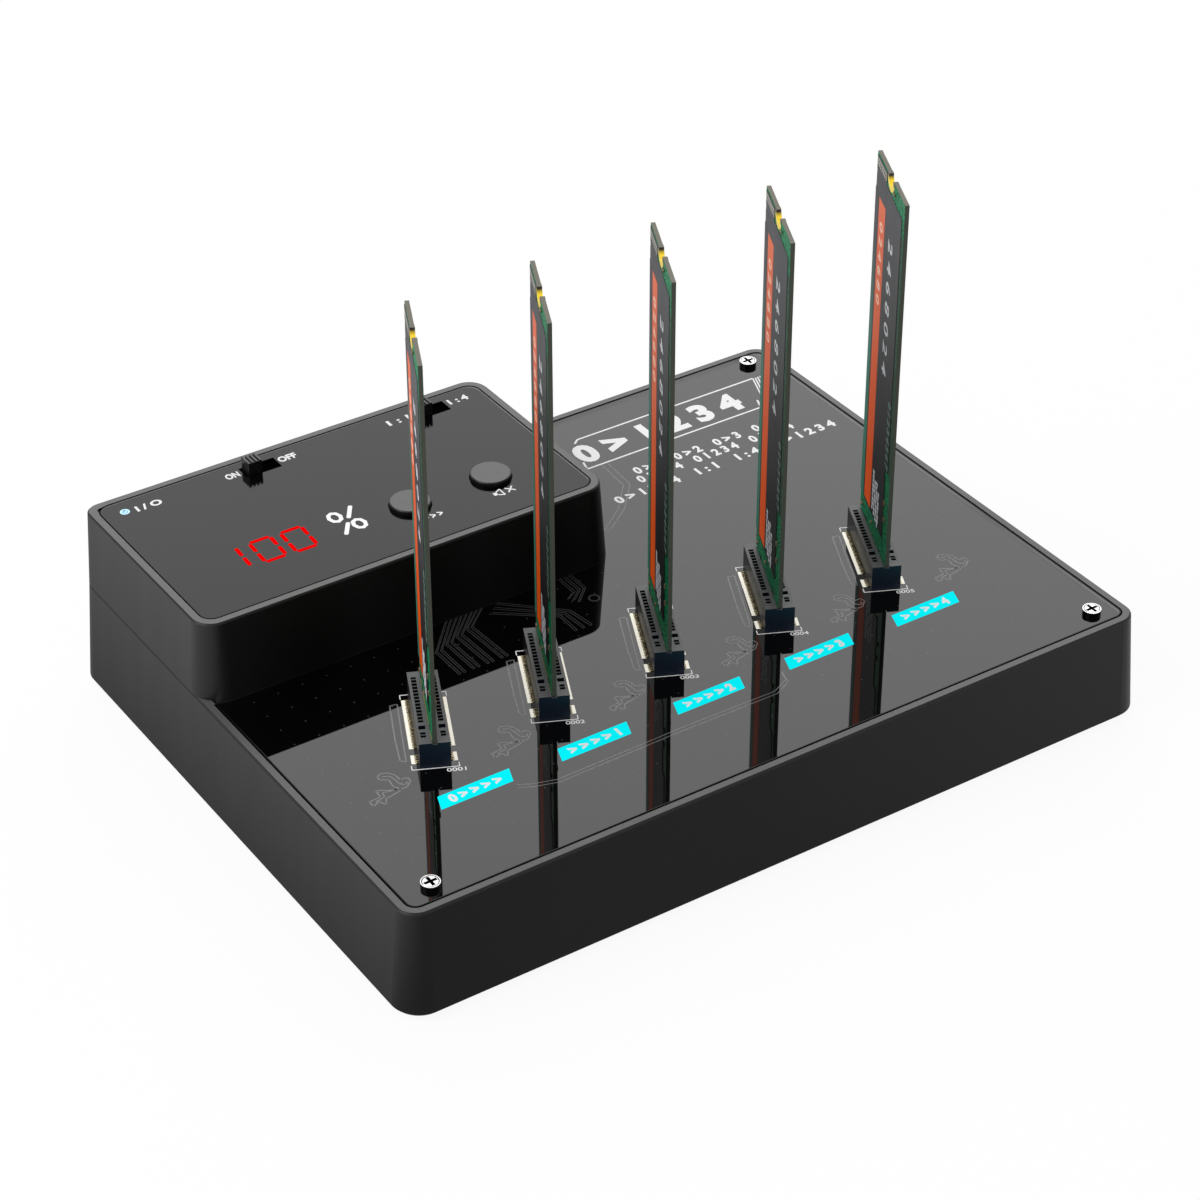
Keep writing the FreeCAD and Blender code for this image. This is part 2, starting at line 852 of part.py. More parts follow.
def usb_c_tongue():
    """Contact tongue in the middle of the receptacle."""
    middle = board_low - usb_height / 2
    start = usb_front() - usb_depth + usb_back_wall
    half = usb_tongue_width / 2
    return block(usb_x - half, usb_x + half, start, start + usb_tongue_length,
                 middle - usb_tongue_thickness / 2, middle + usb_tongue_thickness / 2)


def jack_face():
    """Y of the jack's mouth, level with the outside of the back wall."""
    return base_plan(board_low - jack_axis_drop).y1 - usb_front_gap


def dc_jack():
    """Barrel jack: a square body behind the wall and a round nose in the wall's hole."""
    axis_z = board_low - jack_axis_drop
    body_back = base_plan(board_low).y1 - rim_width - ledge_width - jack_wall_gap
    body = block(jack_x - jack_width / 2, jack_x + jack_width / 2, body_back - jack_depth, body_back,
                 board_low - jack_height, board_low)
    nose = Part.makeCylinder(jack_nose_radius, jack_face() - body_back + past,
                             Vector(jack_x, body_back - past, axis_z), BACKWARD)
    bore = Part.makeCylinder(jack_bore_radius, jack_bore_depth + past,
                             Vector(jack_x, jack_face() - jack_bore_depth, axis_z), BACKWARD)
    return fuse_all(body, [nose]).cut(bore)


def dc_jack_pin():
    """Centre pin of the barrel jack."""
    start = jack_face() - jack_bore_depth
    axis_z = board_low - jack_axis_drop
    return Part.makeCylinder(jack_pin_radius, jack_bore_depth - jack_pin_sink,
                             Vector(jack_x, start, axis_z), BACKWARD)


def interface_chips():
    """One bridge chip in front of each socket and one hub chip, under the main board."""
    solids = []
    for index in range(socket_count):
        x = socket_row_x + socket_pitch * index
        solids.append(centred_block(x, socket_row_y - bridge_forward, bridge_size, bridge_size,
                                    board_low - bridge_height, board_low))
    hub_place = (right - hub_side_inset, back - hub_back_inset)
    solids.append(centred_block(*hub_place, hub_size, hub_size, board_low - hub_height, board_low))
    return solids


def capacitors():
    """Row of supply capacitors under the board beside the jack."""
    solids = []
    low = board_low - capacitor_height
    for number in range(capacitor_count):
        x = right - capacitor_side_inset - capacitor_pitch * number
        solids.append(rod(x, back - capacitor_back_inset, capacitor_radius, low, board_low))
    return solids


def main():
    """Build every sub-part and write it."""
    os.makedirs("parts", exist_ok=True)
    save("base_shell", [base_shell()])
    save("rubber_feet", rubber_feet())
    save("main_board", [main_board()])
    save("board_screws", board_screws())
    save("pod_cover", [pod_cover()])
    save("pod_screws", pod_screws())
    save("control_panel", [control_panel()])
    save("control_board", [control_board()])
    save("control_board_screws", control_board_screws())
    save("display_module", [display_module()])
    save("power_led", [power_led()])
    save("buzzer", [buzzer()])
    save("board_link_header", [board_link_header()])
    save("board_link_socket", [board_link_socket()])
    save("power_switch_body", [switch_body(slot_places[0])])
    save("power_switch_knob", [switch_knob(slot_places[0])])
    save("mode_switch_body", [switch_body(slot_places[1])])
    save("mode_switch_knob", [switch_knob(slot_places[1])])
    save("start_button", [push_button(button_places[0])])
    save("mute_button", [push_button(button_places[1])])
    save("start_tact_plunger", [tact_plunger(button_places[0])])
    save("mute_tact_plunger", [tact_plunger(button_places[1])])
    save("tact_switch_bodies", tact_bodies())
    save("usb_c_shell", [usb_c_shell()])
    save("usb_c_tongue", [usb_c_tongue()])
    save("dc_jack", [dc_jack()])
    save("dc_jack_pin", [dc_jack_pin()])
    save("interface_chips", interface_chips())
    save("capacitors", capacitors())
    repeated = {
        "socket_housing": [socket_housing()],
        "socket_contacts": socket_contacts(),
        "ssd_board": [ssd_board()],
        "ssd_label": [ssd_label()],
        "ssd_plating": ssd_plating(),
    }
    for name, shapes in repeated.items():
        for index in range(socket_count):
            save(name + "_" + str(index), [at_socket(shape, index) for shape in shapes])


main()
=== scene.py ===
import logging
import math
from collections.abc import Callable, Sequence
from dataclasses import dataclass
from enum import Enum

import bpy
from mathutils import Matrix, Vector


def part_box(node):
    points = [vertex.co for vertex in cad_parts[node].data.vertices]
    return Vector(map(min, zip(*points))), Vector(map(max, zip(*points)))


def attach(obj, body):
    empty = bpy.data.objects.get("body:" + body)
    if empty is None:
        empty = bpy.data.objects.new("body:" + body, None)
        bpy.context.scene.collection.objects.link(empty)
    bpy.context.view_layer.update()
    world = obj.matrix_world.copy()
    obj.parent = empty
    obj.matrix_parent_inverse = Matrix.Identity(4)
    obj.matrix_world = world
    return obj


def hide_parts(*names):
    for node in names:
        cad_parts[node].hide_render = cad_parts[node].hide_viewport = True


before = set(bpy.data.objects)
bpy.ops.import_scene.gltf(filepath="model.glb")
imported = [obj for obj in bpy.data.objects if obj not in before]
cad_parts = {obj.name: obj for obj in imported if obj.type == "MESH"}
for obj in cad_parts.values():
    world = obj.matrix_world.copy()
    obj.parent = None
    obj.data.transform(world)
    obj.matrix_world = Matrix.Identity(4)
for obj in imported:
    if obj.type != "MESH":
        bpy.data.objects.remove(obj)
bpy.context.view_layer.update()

LOG = logging.getLogger("duplicator")
MM = 0.001
SLOTS = range(5)
FILM = 0.02

Point = tuple[float, float]
Triple = tuple[float, float, float]
Sides = tuple[float, float, float, float]
Colour = Triple
Piece = bpy.types.Object
Tree = bpy.types.NodeTree
Wire = bpy.types.NodeSocket


# Shader nodes

def supply(node: bpy.types.Node, inputs: dict) -> None:
    """Give a node's inputs their wires or values, by name or number.

    Args:
        node: The node.
        inputs: Wire or value of each input, by name or number.
    """
    for place, value in inputs.items():
        if isinstance(value, Wire):
            node.id_data.links.new(value, node.inputs[place])
        else:
            node.inputs[place].default_value = value


def feed(tree: Tree, kind: str, inputs: dict, **settings) -> Wire:
    """Add a shader node.

    Args:
        tree: Node tree that takes it.
        kind: Its type.
        inputs: Wire or value of each input, by name or number.
        settings: Its properties.

    Returns:
        Its first output in use.
    """
    node = tree.nodes.new("ShaderNode" + kind)
    for name, value in settings.items():
        setattr(node, name, value)
    supply(node, inputs)
    return next(out for out in node.outputs if out.enabled)


def calculate(tree: Tree, operation: str, *terms: Wire | float, clamp: bool = False) -> Wire:
    """Work out a number from wires and values."""
    return feed(tree, "Math", dict(enumerate(terms)), operation=operation, use_clamp=clamp)


def blend(tree: Tree, share: Wire, first: Wire | Sides, second: Wire | Sides) -> Wire:
    """Mix two colours."""
    return feed(tree, "Mix", {"Factor": share, "A": first, "B": second}, data_type="RGBA")


def ramp(tree: Tree, value: Wire, low: float, high: float, start: float = 0.0, end: float = 1.0) -> Wire:
    """Bring a number that runs from low to high to one that runs from start to end."""
    return feed(tree, "MapRange", {"Value": value, "From Min": low, "From Max": high, "To Min": start,
                                   "To Max": end})


def normal(tree: Tree) -> Wire:
    """Direction that the surface looks."""
    return tree.nodes.new("ShaderNodeNewGeometry").outputs["Normal"]


def grey(level: float) -> Colour:
    """Grey of one level."""
    return level, level, level


class Effect(Enum):
    """Node groups that several finishes share: name, inputs by default or type, output and its type."""

    GRAIN = ("moulded_grain", {"Vector": "Vector", "Scale": 4000, "Depth": 1}, "Height", "Float")
    MOTTLE = ("mottle", {"Vector": "Vector", "Scale": 60, "Sharpness": 1, "Light": "Color", "Dark": "Color"},
              "Color", "Color")
    WEAR = ("edge_wear", {"Vector": "Vector", "Radius": 0.0004, "Amount": 1}, "Mask", "Float")
    MARKS = ("fine_marks", {"Vector": "Vector", "Base": 0.3, "Spread": 0.05, "Scale": 40}, "Roughness",
             "Float")

    def group(self) -> Tree:
        """Give back the group, which is drawn the first time.

        Returns:
            The group.
        """
        name, inputs, output, kind = self.value
        tree = bpy.data.node_groups.get(name)
        if tree is not None:
            return tree
        tree = bpy.data.node_groups.new(name, "ShaderNodeTree")
        for label, value in inputs.items():
            other = isinstance(value, str)
            item = tree.interface.new_socket(label, in_out="INPUT",
                                             socket_type="NodeSocket" + (value if other else "Float"))
            if not other:
                item.default_value = value
        tree.interface.new_socket(output, in_out="OUTPUT", socket_type="NodeSocket" + kind)
        draw = {Effect.GRAIN: self._grain, Effect.MOTTLE: self._mottle, Effect.WEAR: self._wear,
                Effect.MARKS: self._marks}[self]
        result = draw(tree, tree.nodes.new("NodeGroupInput").outputs)
        supply(tree.nodes.new("NodeGroupOutput"), {output: result})
        return tree

    @staticmethod
    def _grain(tree: Tree, given: dict) -> Wire:
        """Fine spark-eroded grain of moulded plastic, as a height.

        Args:
            tree: Node tree that takes the nodes.
            given: Wires of the group's inputs, by name.

        Returns:
            The wire of its output.
        """
        pattern = {name: given[name] for name in ("Vector", "Scale")}
        fine = feed(tree, "TexNoise", {**pattern, "Detail": 2})
        both = calculate(tree, "MULTIPLY", fine, feed(tree, "TexVoronoi", pattern))
        return calculate(tree, "MULTIPLY", both, given["Depth"])

    @staticmethod
    def _mottle(tree: Tree, given: dict) -> Wire:
        """Slow cloudy change between two colours.

        Args:
            tree: Node tree that takes the nodes.
            given: Wires of the group's inputs, by name.

        Returns:
            The wire of its output.
        """
        cloud = feed(tree, "TexNoise", {"Vector": given["Vector"], "Scale": given["Scale"], "Detail": 3})
        centred = calculate(tree, "SUBTRACT", cloud, 0.5)
        share = calculate(tree, "MULTIPLY_ADD", centred, given["Sharpness"], 0.5, clamp=True)
        return blend(tree, share, given["Dark"], given["Light"])

    @staticmethod
    def _wear(tree: Tree, given: dict) -> Wire:
        """Mask that is white along outer edges and breaks up away from them.

        Args:
            tree: Node tree that takes the nodes.
            given: Wires of the group's inputs, by name.

        Returns:
            The wire of its output.
        """
        soft = feed(tree, "Bevel", {"Radius": given["Radius"]}, samples=4)
        agree = feed(tree, "VectorMath", {0: soft, 1: normal(tree)}, operation="DOT_PRODUCT")
        patches = feed(tree, "TexNoise", {"Vector": given["Vector"], "Scale": 900})
        broken = calculate(tree, "MULTIPLY", ramp(tree, agree, 0.995, 0.88), patches)
        return calculate(tree, "MULTIPLY", broken, given["Amount"])

    @staticmethod
    def _marks(tree: Tree, given: dict) -> Wire:
        """Roughness with faint wiping marks.

        Args:
            tree: Node tree that takes the nodes.
            given: Wires of the group's inputs, by name.

        Returns:
            The wire of its output.
        """
        stretch = feed(tree, "Mapping", {"Vector": given["Vector"], "Scale": (1.0, 6.0, 1.0),
                                         "Rotation": (0.0, 0.0, 0.5)})
        wipe = feed(tree, "TexNoise", {"Vector": stretch, "Scale": given["Scale"], "Detail": 4})
        centred = calculate(tree, "SUBTRACT", wipe, 0.5)
        return calculate(tree, "MULTIPLY_ADD", centred, given["Spread"], given["Base"], clamp=True)


# Finishes

@dataclass(frozen=True)
class Finish:
    """One surface finish: two near colours, a varied roughness, a grain and worn edges.

    A glow gives light of the finish's own colour: real on the lit display and power light, painted light on
    every other finish. A mirror_glow makes it glow that much more where glossy neighbours mirror it, a painted
    reflection.
    """

    name: str
    light: Colour
    dark: Colour
    roughness: float = 0.4
    spread: float = 0.08
    mottle: float = 80.0
    sharpness: float = 1.0
    grain: float = 3000.0
    depth: float = 0.0
    wear: float = 0.0
    wear_colour: Colour = grey(0.12)
    wear_radius: float = 0.0004
    metallic: float = 0.0
    ior: float = 1.5
    specular: float = 0.5
    glow: float = 0.0
    mirror_glow: float = 0.0

    @staticmethod
    def _effect(tree: Tree, effect: Effect, place: Wire, **values: float | Sides) -> Wire:
        """Place a shared effect in a material.

        Args:
            tree: Node tree of the material.
            effect: The effect.
            place: Wire that gives the pattern its place.
            values: Values of the effect's inputs.

        Returns:
            The effect's output.
        """
        return feed(tree, "Group", {"Vector": place, **values}, node_tree=effect.group())

    def colour(self, tree: Tree, place: Wire) -> Wire:
        """Colour over the surface, before wear.

        Args:
            tree: Node tree of the material.
            place: Wire that gives the pattern its place.

        Returns:
            The wire that gives the colour.
        """
        return self._effect(tree, Effect.MOTTLE, place, Scale=self.mottle, Sharpness=self.sharpness,
                            Light=(*self.light, 1.0), Dark=(*self.dark, 1.0))

    def material(self) -> bpy.types.Material:
        """Make the material, or give back the one made before.

        Returns:
            The material.
        """
        made = bpy.data.materials.get(self.name)
        if made is not None:
            return made
        made = bpy.data.materials.new(self.name)
        made.use_nodes = True
        tree = made.node_tree
        place = tree.nodes.new("ShaderNodeTexCoord").outputs["Object"]
        colour = self.colour(tree, place)
        if self.wear > 0:
            mask = self._effect(tree, Effect.WEAR, place, Radius=self.wear_radius, Amount=self.wear)
            colour = blend(tree, mask, colour, (*self.wear_colour, 1.0))
        marks = self._effect(tree, Effect.MARKS, place, Base=self.roughness, Spread=self.spread)
        inputs = {"Base Color": colour, "Roughness": marks, "Metallic": self.metallic, "IOR": self.ior,
                  "Specular IOR Level": self.specular}
        if self.depth > 0:
            grain = self._effect(tree, Effect.GRAIN, place, Scale=self.grain, Depth=1.0)
            inputs["Normal"] = feed(tree, "Bump", {"Distance": self.depth, "Height": grain})
        # Glow: light from the surface itself, painted light on all but the display and power light
        if self.glow > 0:
            inputs.update({"Emission Color": colour, "Emission Strength": self.glow})
        # Mirror glow: painted reflection, a stronger glow that only glossy rays see
        if self.mirror_glow > 0:
            glossy = tree.nodes.new("ShaderNodeLightPath").outputs["Is Glossy Ray"]
            added = self.mirror_glow - self.glow
            inputs["Emission Strength"] = calculate(tree, "MULTIPLY_ADD", glossy, added, self.glow)
        supply(tree.nodes["Principled BSDF"], inputs)
        return made


@dataclass(frozen=True)
class TurnedFinish(Finish):
    """Finish whose sides that look along given directions have their own colours; a lighter upward side is a
    painted highlight on the housing, keys, sockets and socket bars.
    """

    sides: tuple[tuple[Triple, Colour], ...] = ()

    def colour(self, tree: Tree, place: Wire) -> Wire:
        """Colour over the surface, with the turned sides' own colours and painted highlights.

        Args:
            tree: Node tree of the material.
            place: Wire that gives the pattern its place.

        Returns:
            The wire that gives the colour.
        """
        result = super().colour(tree, place)
        for toward, side in self.sides:
            agree = feed(tree, "VectorMath", {0: normal(tree), 1: toward}, operation="DOT_PRODUCT")
            result = blend(tree, ramp(tree, agree, 0.80, 0.97), result, (*side, 1.0))
        return result


@dataclass(frozen=True)
class LevelFinish(Finish):
    """Finish with another colour below a height, such as painted shade on a screw's recess and sides, or on the
    lower part of a card's label and stripe.
    """

    level: float = 0.0
    span: float = 0.00012
    below: Colour = grey(0.02)

    def colour(self, tree: Tree, place: Wire) -> Wire:
        """Colour over the surface, which changes over a span.

        Args:
            tree: Node tree of the material.
            place: Wire that gives the pattern its place.

        Returns:
            The wire that gives the colour.
        """
        above = super().colour(tree, place)
        height = feed(tree, "SeparateXYZ", {"Vector": place}).node.outputs["Z"]
        return blend(tree, ramp(tree, height, self.level - self.span, self.level), (*self.below, 1.0), above)


TURN = math.radians(-115.0)
ALONG = (math.cos(TURN), math.sin(TURN), 0.0)
AWAY = (-math.cos(TURN), -math.sin(TURN), 0.0)
BEHIND = (-math.sin(TURN), math.cos(TURN), 0.0)
UP = (0.0, 0.0, 1.0)
OLIVE = (0.085, 0.095, 0.075)
PALE_EDGE = (0.22, 0.21, 0.17)

# Housing: the lighter upward faces are a painted highlight, and the lighter edges are partly wear and partly
# painted highlight along the rim
HOUSING = TurnedFinish("satin_housing", (0.0018, 0.0018, 0.0019), (0.0010, 0.0010, 0.0011), 0.40, 0.08, 50.0,
                       1.0, 5000.0, 0.00003, 0.30, grey(0.07), 0.0006, specular=0.30,
                       sides=((UP, grey(0.130)),))
# Painted light: a pale band over the rim's inner wall, with a glow and a far stronger glow in gloss, a painted
# reflection; its upward face is dark
PAINTED_RIM_LIGHT = TurnedFinish("rim_painted_light_band", grey(0.34), grey(0.30), 0.40, 0.08, 300.0, specular=0.2,
                   glow=0.28, mirror_glow=6.0, sides=((UP, grey(0.004)),))
# Painted shade: a dark line along the rim's inner edge, and dark crosses on the screw heads
PAINTED_SHADE = Finish("seam_shadow", grey(0.0015), grey(0.0010), 0.8, 0.05, 300.0, specular=0.0)
DECK = Finish("glossy_solder_mask", grey(0.0007), grey(0.0004), 0.025, 0.02, 30.0)
TRACE = Finish("masked_copper", grey(0.075), grey(0.050), 0.05, 0.03, 200.0)
TRACK = Finish("raised_copper", grey(0.20), grey(0.16), 0.10, 0.03, 200.0)
PANEL = Finish("smoked_panel", (0.0014, 0.0014, 0.0015), (0.0009, 0.0009, 0.0010), 0.10, 0.03, 30.0,
               specular=0.226)
# Painted highlight: the keys' lighter upward faces
KEYS = TurnedFinish("key_plastic", grey(0.0050), grey(0.0035), 0.36, 0.06, 200.0, 1.0,
                    6000.0, 0.00002, 0.2, grey(0.05), 0.0002, specular=0.3,
                    sides=((UP, grey(0.11)),))
KNOBS = Finish("knob_plastic", grey(0.0050), grey(0.0030), 0.34, 0.06, 200.0,
               wear=0.35, wear_colour=grey(0.09), wear_radius=0.00012)
# Painted shade: below the level, the screw heads' sides and recesses and the collars' sides are dark
SCREW = LevelFinish("plated_screw", grey(0.80), (0.62, 0.62, 0.63), 0.26, 0.10, 1500.0, metallic=1.0,
                    level=0.02303)
STEEL_SCREW = Finish("inner_screw", grey(0.80), (0.62, 0.62, 0.63), 0.26, 0.10, 1500.0, metallic=1.0)
DARK_SCREW = Finish("blackened_screw", grey(0.05), grey(0.03), 0.35, 0.10, 1500.0,
                    metallic=1.0)
# Painted highlight: the sockets' lighter upward faces; the navy near end is the socket's own colour
SOCKET = TurnedFinish("socket_nylon", (0.0060, 0.0062, 0.0070), (0.0040, 0.0042, 0.0050), 0.36, 0.08, 300.0,
                      1.0, 8000.0, 0.00001, specular=0.3,
                      sides=((UP, (0.12, 0.12, 0.125)), (ALONG, (0.006, 0.012, 0.026))))
# Painted highlight on the bars' lighter tops, and painted shade: their near-black sides darken the contact
# windows
SOCKET_BARS = TurnedFinish("socket_bar_nylon", (0.0012, 0.0012, 0.0013), (0.0008, 0.0008, 0.0009), 0.5, 0.08,
                           300.0, specular=0.1, sides=((UP, (0.12, 0.12, 0.125)),))
TIN = Finish("tinned_tails", (0.62, 0.52, 0.30), (0.05, 0.04, 0.02), 0.35, 0.12, 3500.0, 6.0, metallic=0.6)
# Pads: tin, with painted highlight: near white and glowing
PAD = Finish("pad_tin", (1.0, 0.98, 0.88), (0.92, 0.89, 0.76), 0.45, 0.10, 2500.0, specular=0.3, glow=0.5)
PALE_TIN = Finish("card_pad_tin", (0.62, 0.60, 0.52), (0.50, 0.47, 0.40), 0.45, 0.10, 2500.0, specular=0.3)
# Painted light: the white and cyan legend inks glow
SILK = Finish("white_legend_ink", grey(0.90), grey(0.84), 0.5, 0.06, 900.0, specular=0.1,
              glow=0.2)
CYAN = Finish("cyan_legend_ink", (0.001, 0.52, 0.56), (0.001, 0.48, 0.52), 0.5, 0.06, 400.0, specular=0.0,
              glow=1.15)
LAMINATE = TurnedFinish("card_laminate", (0.010, 0.38, 0.15), (0.004, 0.080, 0.036), 0.40, 0.10, 2200.0, 6.0,
                        specular=0.06, sides=((ALONG, OLIVE), (AWAY, OLIVE), (UP, PALE_EDGE),
                                              (BEHIND, (0.006, 0.120, 0.050))))
CARD_COPPER = Finish("card_masked_copper", (0.018, 0.200, 0.090), (0.014, 0.170, 0.075), 0.35, 0.08, 600.0,
                     specular=0.1)
FAR_STRIP = LevelFinish("card_far_strip", (0.085, 0.085, 0.092), (0.072, 0.072, 0.080), 0.45, 0.08, 300.0,
                        specular=0.10, level=0.088, span=0.026, below=(0.05, 0.24, 0.17))
# Painted shade: the card's label and orange stripe darken towards the card's foot, below the level; the orange
# stripe also glows, painted light
LABEL = LevelFinish("card_film", (0.085, 0.085, 0.092), (0.072, 0.072, 0.080), 0.45, 0.08, 300.0,
                    specular=0.15, level=0.104, span=0.068, below=(0.009, 0.008, 0.009))
STRIPE = LevelFinish("orange_film", (0.76, 0.17, 0.085), (0.70, 0.15, 0.075), 0.45, 0.08, 300.0,
                     specular=0.08, glow=0.24, level=0.104, span=0.060, below=(0.70, 0.080, 0.006))
# Painted light: the card's white ink glows
CARD_INK = Finish("card_white_ink", (0.85, 0.85, 0.88), (0.75, 0.75, 0.80), 0.5, 0.06, 900.0, specular=0.1,
                  glow=0.1)
FAINT_INK = Finish("card_faint_ink", (0.30, 0.42, 0.36), (0.16, 0.28, 0.22), 0.5, 0.06, 900.0, specular=0.1)
# Painted light: the card's pale ink glows
PALE_INK = Finish("card_pale_ink", (0.95, 0.58, 0.44), (0.90, 0.50, 0.38), 0.5, 0.06, 900.0, specular=0.1,
                  glow=0.2)
NEAR_MARGIN = Finish("card_near_margin", (0.045, 0.15, 0.09), (0.040, 0.045, 0.045), 0.45, 0.08, 1300.0, 4.0,
                     specular=0.10)
# Painted light: the gold of the port's contacts and of the card's notch glows
GOLD = Finish("gold_plating", (0.95, 0.70, 0.06), (0.85, 0.58, 0.04), 0.25, 0.08, 1800.0, metallic=0.7,
              glow=0.12)
NOTCH_GOLD = LevelFinish("notch_gold", (0.020, 0.014, 0.012), (0.012, 0.009, 0.009), 0.30, 0.08, 1800.0,
                         metallic=0.3, glow=0.15, level=0.10395, span=0.0008, below=(1.0, 0.72, 0.03))
EPOXY = Finish("chip_epoxy", (0.020, 0.020, 0.021), (0.013, 0.013, 0.014), 0.55, 0.08, 900.0, 1.0,
               9000.0, 0.00002)
CERAMIC = Finish("tan_ceramic", (0.30, 0.22, 0.13), (0.20, 0.14, 0.08), 0.4, 0.08, 1500.0, specular=0.2)
RUBBER = Finish("foot_rubber", grey(0.028), grey(0.018), 0.75, 0.10, 600.0, 1.0,
                3500.0, 0.00006)
STEEL = Finish("port_steel", (0.70, 0.70, 0.69), grey(0.58), 0.28, 0.10, 900.0, metallic=1.0)
CAN = Finish("capacitor_can", (0.74, 0.74, 0.75), (0.62, 0.62, 0.64), 0.30, 0.10, 900.0, metallic=1.0)
GREEN_BOARD = Finish("control_laminate", (0.018, 0.15, 0.06), (0.010, 0.09, 0.035), 0.3, 0.08, 400.0)
DIGIT = Finish("red_segment", (0.62, 0.0, 0.0), (0.56, 0.0, 0.0), 0.5, 0.05, 600.0, specular=0.0, glow=0.75)
PERCENT = Finish("white_segment", grey(0.90), grey(0.86), 0.5, 0.05, 600.0, specular=0.1,
                 glow=0.3)
POWER = Finish("blue_light", (0.62, 0.88, 1.0), (0.40, 0.75, 0.98), 0.3, 0.05, 600.0, specular=0.2, glow=0.45)
POWER_MARK = Finish("blue_mark", (0.02, 0.16, 0.42), (0.02, 0.12, 0.34), 0.3, 0.05, 600.0, specular=0.1)


class Body(Enum):
    """Bodies that carry the pieces made here."""

    CHASSIS = "chassis"
    CARD = "card_%d"

    def at(self, index: int) -> str:
        """Name of the body in a slot."""
        return self.value % index if "%" in self.value else self.value


# Modelling

def put_down() -> None:
    """Leave edit mode and deselect everything."""
    if bpy.context.object is not None and bpy.context.object.mode != "OBJECT":
        bpy.ops.object.mode_set(mode="OBJECT")
    bpy.ops.object.select_all(action="DESELECT")


def pick(piece: Piece) -> None:
    """Make one piece the only selected and the active one.

    Args:
        piece: The piece.
    """
    put_down()
    piece.select_set(True)
    bpy.context.view_layer.objects.active = piece


def settle(piece: Piece, place: Matrix) -> Piece:
    """Set a piece, modelled in millimetres, in its place and apply that place to its mesh.

    Args:
        piece: The piece, at the origin.
        place: Its place in the object's frame, in metres.

    Returns:
        The same piece, with its object at the origin.
    """
    pick(piece)
    piece.matrix_world = place @ Matrix.Scale(MM, 4)
    bpy.ops.object.transform_apply(location=True, rotation=True, scale=True)
    return piece


def named(piece: Piece, name: str) -> Piece:
    """Name a piece and its mesh.

    Args:
        piece: The piece.
        name: Name of both.

    Returns:
        The same piece.
    """
    piece.name = name
    piece.data.name = name
    return piece


def join(pieces: list[Piece], name: str) -> Piece:
    """Join several meshes into the first of them.

    Args:
        pieces: The meshes.
        name: Name of the result.

    Returns:
        The joined piece.
    """
    pick(pieces[0])
    for piece in pieces[1:]:
        piece.select_set(True)
    if len(pieces) > 1:
        bpy.ops.object.join()
    return named(pieces[0], name)


def apply_array(piece: Piece, count: int, step: Triple) -> None:
    """Repeat the active mesh at equal steps.

    Args:
        piece: The active piece.
        count: How many there are afterwards.
        step: Step from one to the next, in millimetres.
    """
    array = piece.modifiers.new("repeat", "ARRAY")
    array.count = count
    array.use_relative_offset = False
    array.use_constant_offset = True
    array.constant_offset_displace = step
    bpy.ops.object.modifier_apply(modifier=array.name)


def dress(piece: Piece, finish: Finish) -> Piece:
    """Give a piece one finish all over.

    Args:
        piece: The piece.
        finish: Its finish.

    Returns:
        The same piece.
    """
    piece.data.materials.clear()
    piece.data.materials.append(finish.material())
    return piece


def dress_nodes(**finishes: Finish) -> None:
    """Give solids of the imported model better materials.

    Args:
        finishes: The finish of each solid.
    """
    for node, finish in finishes.items():
        dress(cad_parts[node], finish)
        LOG.info("dressed %s with %s", node, finish.name)


def hand_over(piece: Piece, finish: Finish, body: str = Body.CHASSIS.value) -> None:
    """Dress a finished piece and let it ride on its body.

    Args:
        piece: The piece, set in its place.
        finish: Its finish.
        body: The body that carries it.
    """
    dress(piece, finish)
    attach(piece, body)
    LOG.info("piece %s on %s: %d faces", piece.name, body, len(piece.data.polygons))


